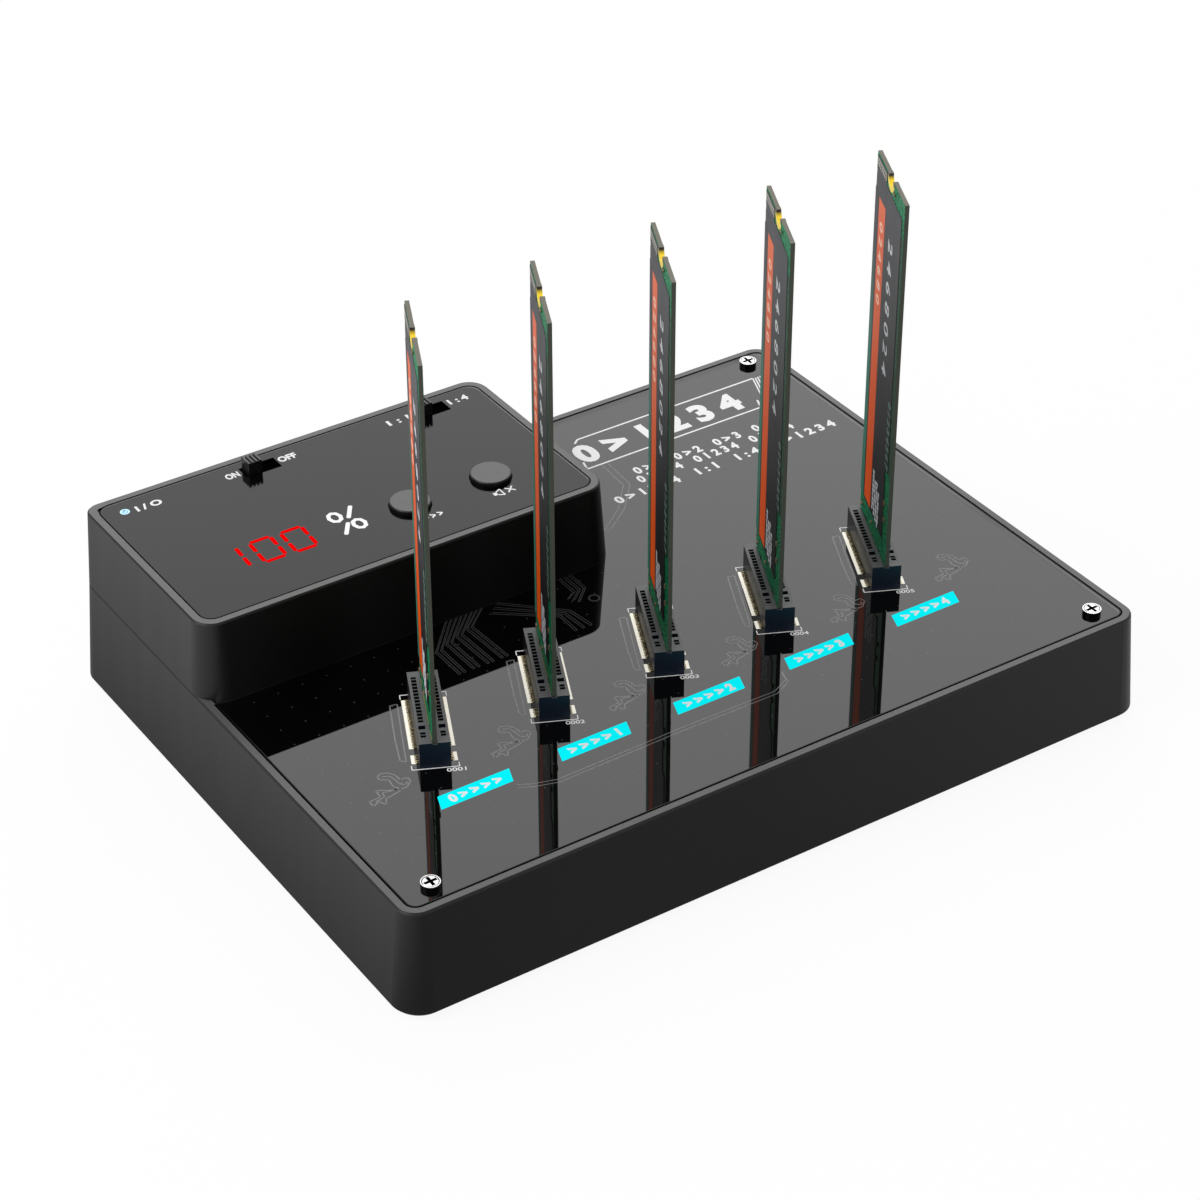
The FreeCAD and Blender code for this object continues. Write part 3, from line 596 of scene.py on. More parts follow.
class Layer:
    """Flat shapes modelled together in edit mode, in millimetres, and then given a thickness."""

    def __init__(self, name: str) -> None:
        """Start an empty layer.

        Args:
            name: Name of the piece that it becomes.
        """
        put_down()
        bpy.ops.object.add(type="MESH", location=grey(0.0))
        self.piece = named(bpy.context.object, name)
        bpy.ops.object.mode_set(mode="EDIT")

    def _plane(self, middle: Triple, length: float, width: float) -> None:
        """Add a rectangle and leave it alone selected.

        Args:
            middle: Its middle.
            length: Its size along X.
            width: Its size along Y.
        """
        bpy.ops.mesh.select_all(action="DESELECT")
        bpy.ops.mesh.primitive_plane_add(size=1.0, location=middle)
        bpy.ops.transform.resize(value=(length, width, 1.0), center_override=middle)

    def bar(self, start: Point, end: Point, width: float, nip: float = 0.0) -> None:
        """Add a straight stroke.

        Args:
            start: One end.
            end: The other end.
            width: Width of the stroke.
            nip: How much of each corner is cut off.
        """
        middle = ((start[0] + end[0]) / 2, (start[1] + end[1]) / 2, 0.0)
        length = math.dist(start, end)
        angle = math.atan2(end[1] - start[1], end[0] - start[0])
        self._plane(middle, length, width)
        if nip > 0:
            bpy.ops.mesh.bevel(offset=nip, affect="VERTICES", segments=1)
        bpy.ops.transform.rotate(value=-angle, orient_axis="Z", center_override=middle)

    def path(self, points: Sequence[Point], width: float) -> None:
        """Add a run of strokes through several points."""
        for start, end in zip(points, points[1:]):
            self.bar(start, end, width)

    def slab(self, x0: float, x1: float, y0: float, y1: float, lean: float = 0.0) -> None:
        """Add a rectangle whose far edge may lean to the right.

        Args:
            x0: Left side of the near edge.
            x1: Right side of the near edge.
            y0: Near edge.
            y1: Far edge.
            lean: How far the far edge is moved to the right.
        """
        middle = ((x0 + x1) / 2, (y0 + y1) / 2, 0.0)
        self._plane(middle, x1 - x0, y1 - y0)
        if lean:
            bpy.ops.mesh.select_mode(type="VERT")
            self._keep_selected(lambda corner: corner.y > middle[1])
            bpy.ops.transform.translate(value=(lean, 0.0, 0.0))

    def _keep_selected(self, test: Callable[[Vector], bool]) -> None:
        """Deselect the selected vertices that fail a test.

        Args:
            test: Tells from a vertex's place whether it stays selected.
        """
        bpy.ops.object.mode_set(mode="OBJECT")
        for vertex in self.piece.data.vertices:
            vertex.select = vertex.select and test(vertex.co)
        for edge in self.piece.data.edges:
            edge.select = all(self.piece.data.vertices[index].select for index in edge.vertices)
        for face in self.piece.data.polygons:
            face.select = False
        bpy.ops.object.mode_set(mode="EDIT")

    def disc(self, centre: Point, radius: float, sides: int = 24) -> None:
        """Add a filled disc.

        Args:
            centre: Its middle.
            radius: Its radius.
            sides: Number of straight sides.
        """
        bpy.ops.mesh.select_all(action="DESELECT")
        bpy.ops.mesh.primitive_circle_add(vertices=sides, radius=radius, fill_type="NGON",
                                          location=(*centre, 0.0))

    def ring(self, centre: Point, radius: float, width: float, sides: int = 24,
             stretch: Point = (1.0, 1.0)) -> None:
        """Add a ring.

        Args:
            centre: Its middle.
            radius: Outer radius.
            width: Width of the line.
            sides: Number of straight sides.
            stretch: Factors along and across.
        """
        self.disc(centre, radius, sides)
        bpy.ops.transform.resize(value=(*stretch, 1.0), center_override=(*centre, 0.0))
        bpy.ops.mesh.inset(thickness=width)
        bpy.ops.mesh.delete(type="FACE")

    def frame(self, sides: Sides, radius: float, width: float) -> None:
        """Add a closed rectangular line with round corners.

        Args:
            sides: Left, right, near and far side of its outer edge.
            radius: Radius of the corners.
            width: Width of the line.
        """
        self.slab(*sides)
        bpy.ops.mesh.bevel(offset=radius, affect="VERTICES", segments=8)
        bpy.ops.mesh.inset(thickness=width)
        bpy.ops.mesh.delete(type="FACE")

    def clear_corner(self, right: float, near: float) -> None:
        """Cut away what lies left of one line and behind another, where a housing stands.

        Args:
            right: The line that it lies left of.
            near: The line that it lies behind.
        """
        for across in ((1.0, 0.0, 0.0), (0.0, 1.0, 0.0)):
            bpy.ops.mesh.select_all(action="SELECT")
            bpy.ops.mesh.bisect(plane_co=(right, near, 0.0), plane_no=across)
        bpy.ops.mesh.select_all(action="SELECT")
        bpy.ops.mesh.select_mode(type="VERT")
        self._keep_selected(lambda corner: corner.x < right - 0.01 and corner.y > near + 0.01)
        bpy.ops.mesh.delete(type="VERT")

    def repeat(self, count: int, step: Point) -> None:
        """Repeat all that is in the layer so far at equal steps.

        Args:
            count: How many there are afterwards.
            step: Step from one to the next, in millimetres.
        """
        bpy.ops.object.mode_set(mode="OBJECT")
        apply_array(self.piece, count, (*step, 0.0))
        bpy.ops.object.mode_set(mode="EDIT")

    def _set_outwards(self) -> None:
        """Make all faces look outwards and leave edit mode."""
        bpy.ops.mesh.select_all(action="SELECT")
        bpy.ops.mesh.normals_make_consistent(inside=False)
        bpy.ops.object.mode_set(mode="OBJECT")

    def raise_up(self, thickness: float) -> Piece:
        """Give the layer its thickness, upwards, and end the modelling.

        Args:
            thickness: Thickness in millimetres.

        Returns:
            The finished mesh.
        """
        self._set_outwards()
        shell = self.piece.modifiers.new("thickness", "SOLIDIFY")
        shell.thickness = thickness
        shell.offset = 1.0 if self.piece.data.polygons[0].normal.z > 0 else -1.0
        bpy.ops.object.modifier_apply(modifier=shell.name)
        bpy.ops.object.mode_set(mode="EDIT")
        self._set_outwards()
        return self.piece


def lettering(name: str, words: str, at: Point, cap: float, width: float, turn: float = 0.0,
              bold: float = 0.012) -> Piece:
    """Cut plain numbers and signs as a thin flat mesh.

    Args:
        name: Name of the piece.
        words: The numbers and signs.
        at: Where its middle is, in millimetres.
        cap: Height of a figure.
        width: Width that the whole line is brought to.
        turn: Turn about the upright in degrees.
        bold: How much the strokes are thickened, as a share of the letter size.

    Returns:
        The mesh, in millimetres, lying on the ground.
    """
    put_down()
    bpy.ops.object.text_add(location=grey(0.0))
    text = bpy.context.object
    size = cap / 0.7
    text.data.body = words
    text.data.size = size
    text.data.extrude = FILM / 2
    text.data.offset = bold * size
    text.data.resolution_u = 4
    bpy.ops.object.convert(target="MESH")
    piece = named(bpy.context.object, name)
    low, high = corners(piece)
    centre = Matrix.Translation((-(low.x + high.x) / 2, -(low.y + high.y) / 2, FILM / 2))
    stretch = Matrix.Diagonal((width / (high.x - low.x), 1, 1, 1))
    turned = Matrix.Rotation(math.radians(turn), 4, "Z")
    piece.matrix_world = Matrix.Translation((*at, 0.0)) @ turned @ stretch @ centre
    bpy.ops.object.transform_apply(location=True, rotation=True, scale=True)
    return piece


def corners(piece: Piece) -> tuple[Vector, Vector]:
    """Lowest and highest corner of a mesh in its own frame."""
    along = list(zip(*(vertex.co for vertex in piece.data.vertices)))
    return Vector([min(values) for values in along]), Vector([max(values) for values in along])


def bevelled_block(name: str, size: Triple, centre: Triple,
                   bevel: float, segments: int = 1) -> Piece:
    """Block with all its edges bevelled, in millimetres.

    Args:
        name: Name of the piece.
        size: Its three sizes.
        centre: Its middle.
        bevel: Width of the bevel.
        segments: Steps of the bevel.

    Returns:
        The mesh.
    """
    put_down()
    bpy.ops.mesh.primitive_cube_add(size=1.0, location=centre)
    piece = named(bpy.context.object, name)
    bpy.ops.object.mode_set(mode="EDIT")
    bpy.ops.transform.resize(value=size, center_override=centre)
    bpy.ops.mesh.select_mode(type="EDGE")
    bpy.ops.mesh.select_all(action="SELECT")
    bpy.ops.mesh.bevel(offset=bevel, segments=segments)
    bpy.ops.object.mode_set(mode="OBJECT")
    bpy.ops.object.transform_apply(location=True, rotation=True, scale=True)
    return piece


def repeated(piece: Piece, count: int, step: Triple) -> Piece:
    """Repeat a mesh at equal steps within one piece.

    Args:
        piece: The piece.
        count: How many there are afterwards.
        step: Step from one to the next, in millimetres.

    Returns:
        The same piece.
    """
    pick(piece)
    apply_array(piece, count, step)
    return piece


def twin(piece: Piece, name: str) -> Piece:
    """Copy a piece with a mesh of its own.

    Args:
        piece: The piece.
        name: Name of the copy.

    Returns:
        The copy.
    """
    copy = piece.copy()
    copy.data = piece.data.copy()
    bpy.context.scene.collection.objects.link(copy)
    return named(copy, name)


# Places

@dataclass(frozen=True)
class SocketRow:
    """Row of turned card sockets. In a socket's frame X runs to its near end and Y across it."""

    first: Point = (-49.75, -17.13)
    pitch: float = 25.15
    card_thickness: float = 0.8
    film: float = 0.12

    def upright(self, index: int, height: float) -> Matrix:
        """Frame of a socket at a height in metres.

        Args:
            index: Number of the socket.
            height: Height of the frame over the table.

        Returns:
            The frame, in metres.
        """
        x, y = self.first
        move = Matrix.Translation(((x + self.pitch * index) * MM, y * MM, height))
        return move @ Matrix.Rotation(TURN, 4, "Z")

    def card_face(self, index: int, film: float) -> Matrix:
        """Frame on the card's labelled face: X to its near edge, Y up from the table, Z out of it.

        Args:
            index: Number of the socket.
            film: Thickness in millimetres of what lies on the card there.

        Returns:
            The frame, in metres.
        """
        depth = (self.card_thickness / 2 + film) * MM
        return (self.upright(index, 0.0) @ Matrix.Translation((0.0, -depth, 0.0))
                @ Matrix.Rotation(math.pi / 2, 4, "X"))

    def card_back(self, index: int) -> Matrix:
        """Frame on the card's other face: X to its far edge, Y up from the table, Z out of it.

        Args:
            index: Number of the socket.

        Returns:
            The frame, in metres.
        """
        depth = self.card_thickness / 2 * MM
        return (self.upright(index, 0.0) @ Matrix.Translation((0.0, depth, 0.0))
                @ Matrix.Rotation(math.pi, 4, "Z") @ Matrix.Rotation(math.pi / 2, 4, "X"))


ROW = SocketRow()


def lay(piece: Piece, node: str, finish: Finish, lift: float = 0.0) -> None:
    """Hand over a flat piece that lies on a solid of the chassis.

    Args:
        piece: The piece, in millimetres.
        node: The solid.
        finish: The piece's finish.
        lift: How far over the solid it lies, in millimetres.
    """
    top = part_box(node)[1].z + lift * MM
    hand_over(settle(piece, Matrix.Translation((0.0, 0.0, top))), finish)


@dataclass(frozen=True)
class Detail:
    """Detail that is modelled once, in millimetres, and set in every slot, perhaps instead of a solid."""

    name: str
    model: Piece
    finish: Finish
    slot: str
    place: Callable[[int], Matrix]
    body: Body = Body.CHASSIS
    instead: str = ""

    def set_at(self, index: int) -> None:
        """Set a copy of the model in a slot.

        Args:
            index: Number of the slot.
        """
        piece = settle(twin(self.model, "%s_%d" % (self.name, index)), self.place(index))
        if self.instead:
            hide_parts("%s_%d" % (self.instead, index))
        hand_over(piece, self.finish, self.body.at(index))

    def drop(self) -> None:
        """Take the model away."""
        bpy.data.objects.remove(self.model)


@dataclass(frozen=True)
class RimLine:
    """Band of painted light on the rim's inner wall over a sunk board, and a line of painted shade on the rim
    along its inner edge.
    """

    node: str
    prefix: str
    painted_light_band: float
    seam: float
    gap: float
    sink: float
    radius: float

    def draw(self, beside: str = "") -> None:
        """Model both rings, and cut them away behind a housing that stands in the corner.

        Args:
            beside: The housing's solid, if one stands there.
        """
        low, high = (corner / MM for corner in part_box(self.node))
        for name, width, out, lift, height, finish in (
                ("painted_light_band", self.painted_light_band, self.gap - FILM, 0.0, self.sink - 0.03, PAINTED_RIM_LIGHT),
                ("seam", self.seam, self.gap + self.seam, self.sink, FILM, PAINTED_SHADE)):
            ring = Layer("%s_%s" % (self.prefix, name))
            ring.frame((low.x - out, high.x + out, low.y - out, high.y + out), self.radius + out, width)
            if beside:
                first, last = (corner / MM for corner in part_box(beside))
                ring.clear_corner(last.x, first.y)
            lay(ring.raise_up(height), self.node, finish, lift)


TRACK_BAND = ((-2.2, 10.3), (-6.6, 0.9), (-9.0, -4.9), (-8.3, -5.9), (-5.5, 0.1), (-0.8, 10.0), (-2.2, 10.3))
TRACK_LOOP = ((-14.9, -6.9), (-14.0, -6.2), (-12.7, -6.7), (-11.9, -8.0), (-11.8, -9.7), (-10.5, -9.7),
              (-10.3, -10.8), (-11.8, -12.1), (-13.1, -12.0), (-13.8, -10.6), (-13.5, -8.6), (-14.8, -7.8),
              (-14.9, -6.9))
TRACK_TAIL = ((-13.1, -12.0), (-14.9, -11.2), (-17.0, -10.0), (-17.2, -12.0), (-19.6, -12.2), (-19.5, -13.6),
              (-18.0, -13.0), (-17.5, -14.5), (-16.6, -13.0), (-13.3, -12.4))
TRACK_INNER = ((-14.2, -7.2), (-12.9, -7.6), (-12.6, -9.0), (-12.5, -10.6), (-11.7, -11.4), (-11.0, -10.8))
TRACK_HOOK = ((-13.6, -11.7), (-15.2, -11.5), (-16.3, -11.1), (-16.6, -12.4), (-18.6, -12.8))


# Sub-assemblies

@dataclass
class Studio:
    """Floor, lamps, world and camera."""

    ambient: float = 0.42
    softbox_radiance: float = 1.15
    softbox_place: Triple = (0.90, 1.35, 1.20)
    softbox_size: float = 2.0
    key_radiance: float = 3.0
    key_place: Triple = (-1.3, 0.2, 1.3)
    key_size: float = 1.2
    # Glow of the floor that only gloss and glass see, by place along X: painted reflections on the object
    glow_far: float = -0.150
    glow_near: float = -0.085
    glow_left: float = 1.65
    glow_front: float = 0.46
    glow_end: float = 0.15
    glow_right: float = 0.45
    paper_white: float = 1.03
    paper_share: float = 0.90
    floor_size: float = 12.0
    aim: Triple = (0.0, 0.0, 0.03)
    camera_place: Triple = (-0.284064, -0.427964, 0.374765)
    camera_turn: Triple = (55.498, 0.136, -33.532)
    lens: float = 97.98

    def _pale_rays(self, tree: Tree) -> Wire:
        """One for rays that see the background: from the camera, off gloss and through glass.

        Args:
            tree: Node tree that takes the nodes.

        Returns:
            The wire that gives it.
        """
        rays = tree.nodes.new("ShaderNodeLightPath").outputs
        seen = calculate(tree, "MAXIMUM", rays["Is Camera Ray"], rays["Is Glossy Ray"])
        return calculate(tree, "MAXIMUM", seen, rays["Is Transmission Ray"])

    def _world(self) -> None:
        """White surroundings that light the object more weakly than they look."""
        world = bpy.data.worlds.new("studio_world")
        bpy.context.scene.world = world
        world.use_nodes = True
        tree = world.node_tree
        strength = calculate(tree, "MULTIPLY_ADD", self._pale_rays(tree), 1.0 - self.ambient, self.ambient)
        supply(tree.nodes["Background"], {"Color": (*grey(1.0), 1.0), "Strength": strength})

    def _floor(self) -> None:
        """Wide pale floor that keeps a faint shadow, and glows unevenly where gloss and glass see it: painted
        reflections, bright to the left, dim in the middle, brighter to the right.
        """
        put_down()
        bpy.ops.mesh.primitive_plane_add(size=self.floor_size, location=grey(0.0))
        floor = bpy.context.object
        floor.name = "studio_floor"
        made = bpy.data.materials.new("pale_floor")
        made.use_nodes = True
        tree = made.node_tree
        surface = tree.nodes["Principled BSDF"]
        supply(surface, {"Base Color": (*grey(0.86), 1.0), "Roughness": 0.9, "Specular IOR Level": 0.0})
        across = feed(tree, "SeparateXYZ", {"Vector": tree.nodes.new("ShaderNodeTexCoord").outputs["Object"]})
        # Painted reflections: the floor's glow in gloss changes along X
        left = ramp(tree, across, self.glow_far, self.glow_near, self.glow_left, self.glow_front)
        right = ramp(tree, across, 0.0, self.glow_end, 0.0, self.glow_right)
        camera = tree.nodes.new("ShaderNodeLightPath").outputs["Is Camera Ray"]
        strength = feed(tree, "Mix", {"Factor": camera, "A": calculate(tree, "ADD", left, right),
                                      "B": self.paper_white})
        white = feed(tree, "Emission", {"Color": (*grey(1.0), 1.0), "Strength": strength})
        share = calculate(tree, "MULTIPLY", self._pale_rays(tree), self.paper_share)
        mix = feed(tree, "MixShader", {0: share, 1: surface.outputs[0], 2: white})
        supply(tree.nodes["Material Output"], {"Surface": mix})
        floor.data.materials.append(made)

    def _lamp(self, name: str, place: Triple, size: float, radiance: float) -> None:
        """Square soft lamp that looks at the middle of the object.

        Args:
            name: Name of the lamp.
            place: Where it hangs.
            size: Length of its side in metres.
            radiance: Its brightness, where 1 is white.
        """
        put_down()
        turn = (Vector(self.aim) - Vector(place)).to_track_quat("-Z", "Y").to_euler()
        bpy.ops.object.light_add(type="AREA", location=place, rotation=turn)
        lamp = bpy.context.object
        lamp.name = name
        lamp.data.shape = "SQUARE"
        lamp.data.size = size
        lamp.data.energy = radiance * math.pi * size * size

    def build(self) -> None:
        """Set up floor, lamps, world and camera."""
        self._world()
        self._floor()
        self._lamp("back_softbox", self.softbox_place, self.softbox_size, self.softbox_radiance)
        self._lamp("left_key", self.key_place, self.key_size, self.key_radiance)
        put_down()
        turn = [math.radians(angle) for angle in self.camera_turn]
        bpy.ops.object.camera_add(location=self.camera_place, rotation=turn)
        camera = bpy.context.object
        camera.name = "photo_camera"
        camera.data.lens = self.lens
        camera.data.sensor_width = 36.0
        camera.data.clip_start = 0.01
        camera.data.clip_end = 50.0
        bpy.context.scene.camera = camera
        bpy.context.scene.view_settings.view_transform = "Standard"
        LOG.info("studio ready")


@dataclass
class Tray:
    """Base tray with its feet and screws from below."""

    # Band of painted light on the rim's inner wall and line of painted shade along its inner edge
    rim: RimLine = RimLine("main_board", "rim", painted_light_band=0.22, seam=0.34, gap=0.25, sink=0.6, radius=1.75)

    def build(self) -> None:
        """Dress the tray's solids, and give its rim a band of painted light and a line of painted shade."""
        dress_nodes(base_shell=HOUSING, rubber_feet=RUBBER, pod_screws=DARK_SCREW)
        self.rim.draw(beside="pod_cover")


@dataclass
class Deck:
    """Main circuit board with its printed legends, masked traces and screws."""

    legend_slot: str = "board_black"
    title_lines: tuple = (((25.66, 50.30), (27.0, 51.35), (71.3, 51.35)),
                          ((23.15, 43.30), (22.45, 40.75), (65.9, 40.85), (66.9, 43.6)))
    title_cap: float = 6.0
    title_width: float = 40.6
    title_middle: Point = (43.4, 45.9)
    title_line: float = 0.42
    hatch: tuple[Point, Point] = ((71.3, 51.3), (68.95, 45.2))
    hatch_count: int = 4
    hatch_pitch: float = 0.62
    hatch_line: float = 0.30
    row_cap: float = 2.3
    rows: tuple = (("0 > 1    0 > 2    0 > 3    0 > 4", 47.86, 34.7, 36.0),
                   ("0 1 2 3 4    0 1 2 3 4    0 1 2 3 4", 47.86, 31.6, 38.4),
                   ("0 > 1 2 3 4    1 : 1    1 : 4    0 > 1 2 3 4", 47.71, 27.6, 54.3))
    label_near: Point = (-59.94, -38.2)
    label_size: Point = (14.85, 3.55)
    label_lean: float = 1.28
    label_step: float = 25.1
    number_cap: float = 2.0
    number_width: float = 10.8
    trace_ring: tuple = ((-1.8, 1.5), 1.2, 0.35, 16)
    open_tracks: tuple = ((((27.1, 40.2), (26.5, 31.3), (20.7, 24.5), (13.9, 19.4)), (-1.3, 0.4)),
                          (((-45.3, -40.3), (-42.9, -41.6), (-38.4, -43.0), (-12.1, -42.6), (9.0, -42.9),
                            (12.8, -41.1), (13.8, -37.9)), (0.1, 0.85)))
    track_line: float = 0.17
    wide_line: float = 0.26
    first_via: Point = (-72.0, -48.0)
    via_grid: tuple[int, int] = (29, 12)
    via_pitch: float = 5.08
    via_radius: float = 0.16
    screw_head: float = 1.65
    head_height: float = 1.05
    collar: float = 0.13
    cross: float = 1.25
    cross_width: float = 0.62

    def _title(self) -> None:
        """Slanting frame with its hatch, and the order of copying in it."""
        frame_line = Layer("deck_title")
        for points in self.title_lines:
            frame_line.path(points, self.title_line)
        for number in range(self.hatch_count):
            start, end = ((x + self.hatch_pitch * number, y) for x, y in self.hatch)
            frame_line.bar(start, end, self.hatch_line)
        drawn = frame_line.raise_up(FILM)
        figures = lettering("title_figures", "0 > 1 2 3 4", self.title_middle, self.title_cap,
                            self.title_width, bold=0.05)
        lay(join([drawn, figures], "deck_title"), "main_board", SILK)

    def _rows(self) -> None:
        """Three lines of small figures."""
        lines = [lettering("row_%d" % number, words, (x, y), self.row_cap, width, bold=0.04)
                 for number, (words, x, y, width) in enumerate(self.rows)]
        lay(join(lines, "deck_rows"), "main_board", SILK)

    def _slot_label(self, index: int) -> None:
        """Leaning cyan patch with the socket's number.

        Args:
            index: Number of the socket.
        """
        x = self.label_near[0] + self.label_step * index
        y = self.label_near[1]
        length, width = self.label_size
        patch = Layer("slot_patch_%d" % index)
        patch.slab(x, x + length, y, y + width, self.label_lean)
        lay(patch.raise_up(FILM), "main_board", CYAN)
        words = "%d > > > >" % index if index == 0 else "> > > > %d" % index
        middle = (x + (length + self.label_lean) / 2, y + width / 2)
        figures = lettering("slot_number_%d" % index, words, middle, self.number_cap,
                            self.number_width, bold=0.05)
        lay(figures, "main_board", SILK, FILM)

    def _track(self, lines: Layer, points: Sequence[Point], apart: Point, count: int = 2) -> None:
        """Add the outline of masked copper: lines side by side, closed at their end.

        Args:
            lines: Layer that takes them.
            points: Points of the first line.
            apart: Step from one line to the next.
            count: Number of lines.
        """
        for number in range(count):
            lines.path([(x + apart[0] * number, y + apart[1] * number) for x, y in points], self.track_line)
        x, y = points[-1]
        lines.bar((x, y), (x + apart[0] * (count - 1), y + apart[1] * (count - 1)), self.track_line)

    def _traces(self) -> None:
        """Copper that shows under the solder mask as fine outlines."""
        lines = Layer("deck_traces")
        for number in range(4):
            start, bend, end = -22.2 - 2.3 * number, -27.6 - 2.9 * number, -27.0 - 3.1 * number
            for pair in range(2):
                self._track(lines, [(start + 1.1 * pair, 11.0), (bend + 1.1 * pair, 6.2 - 1.1 * number),
                                    (end + 1.1 * pair, -5.5)], (0.45, 0.1))
        for number in range(3):
            shift = 1.2 * number
            self._track(lines, [(-18.1 - shift, 10.6 - shift), (-7.8 - shift, 0.6 - 0.2 * shift),
                                (-6.9 - 1.4 * shift, -5.5)], (-0.5, -0.3))
            end = (-4.6 - 0.5 * shift, 2.1 + 0.8 * shift)
            self._track(lines, [(-1.2 - shift, 10.8), (-1.2 - shift, 5.4), end], (-0.5, 0.0))
        lines.ring(*self.trace_ring)
        lay(lines.raise_up(FILM / 2), "main_board", TRACE)

    def _tracks(self) -> None:
        """Wider copper on the open board: bands beside the sockets and bent outlines between them."""
        lines = Layer("deck_tracks")
        for points, apart in self.open_tracks:
            self._track(lines, points, apart)
        for index in range(len(SLOTS) + 1):
            x, y = ROW.first[0] + ROW.pitch * index, ROW.first[1]
            for outline in (TRACK_BAND, TRACK_LOOP, TRACK_TAIL, TRACK_INNER, TRACK_HOOK)[index not in SLOTS:]:
                lines.path([(x + across, y + along) for across, along in outline], self.wide_line)
        lay(lines.raise_up(FILM / 2), "main_board", TRACK)

    def _crosses(self) -> None:
        """Collars round the heads of the board's screws, and flat dark crosses on their tops: painted shade of
        the cross recesses.
        """
        low, high = (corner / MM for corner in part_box("board_screws"))
        reach = self.screw_head
        left, right, near, far = low.x + reach, high.x - reach, low.y + reach, high.y - reach
        places = ((left, near), (right, near), (right, far))
        collars = Layer("screw_collars")
        for place in places:
            collars.ring(place, reach + self.collar, self.collar + 0.06, 32)
        height = self.head_height - FILM
        # The collars' sides are painted shade, dark below the screw finish's level
        lay(collars.raise_up(height), "main_board", SCREW)
        # Dark crosses laid on the heads: painted shade of the recesses
        marks = Layer("screw_crosses")
        for x, y in places:
            marks.bar((x - self.cross, y), (x + self.cross, y), self.cross_width)
            marks.bar((x, y - self.cross), (x, y + self.cross), self.cross_width)
        lay(marks.raise_up(FILM / 2), "board_screws", PAINTED_SHADE)

    def _vias(self) -> None:
        """Grid of small tented holes."""
        dots = Layer("deck_vias")
        columns, rows = self.via_grid
        dots.disc(self.first_via, self.via_radius, 8)
        dots.repeat(columns, (self.via_pitch, 0.0))
        dots.repeat(rows, (0.0, self.via_pitch))
        lay(dots.raise_up(FILM / 4), "main_board", TRACE)

    def build(self) -> None:
        """Dress the board and lay its printing on it."""
        dress_nodes(main_board=DECK, board_screws=SCREW)
        self._title()
        self._rows()
        for index in SLOTS:
            self._slot_label(index)
        self._traces()
        self._tracks()
        self._vias()
        self._crosses()


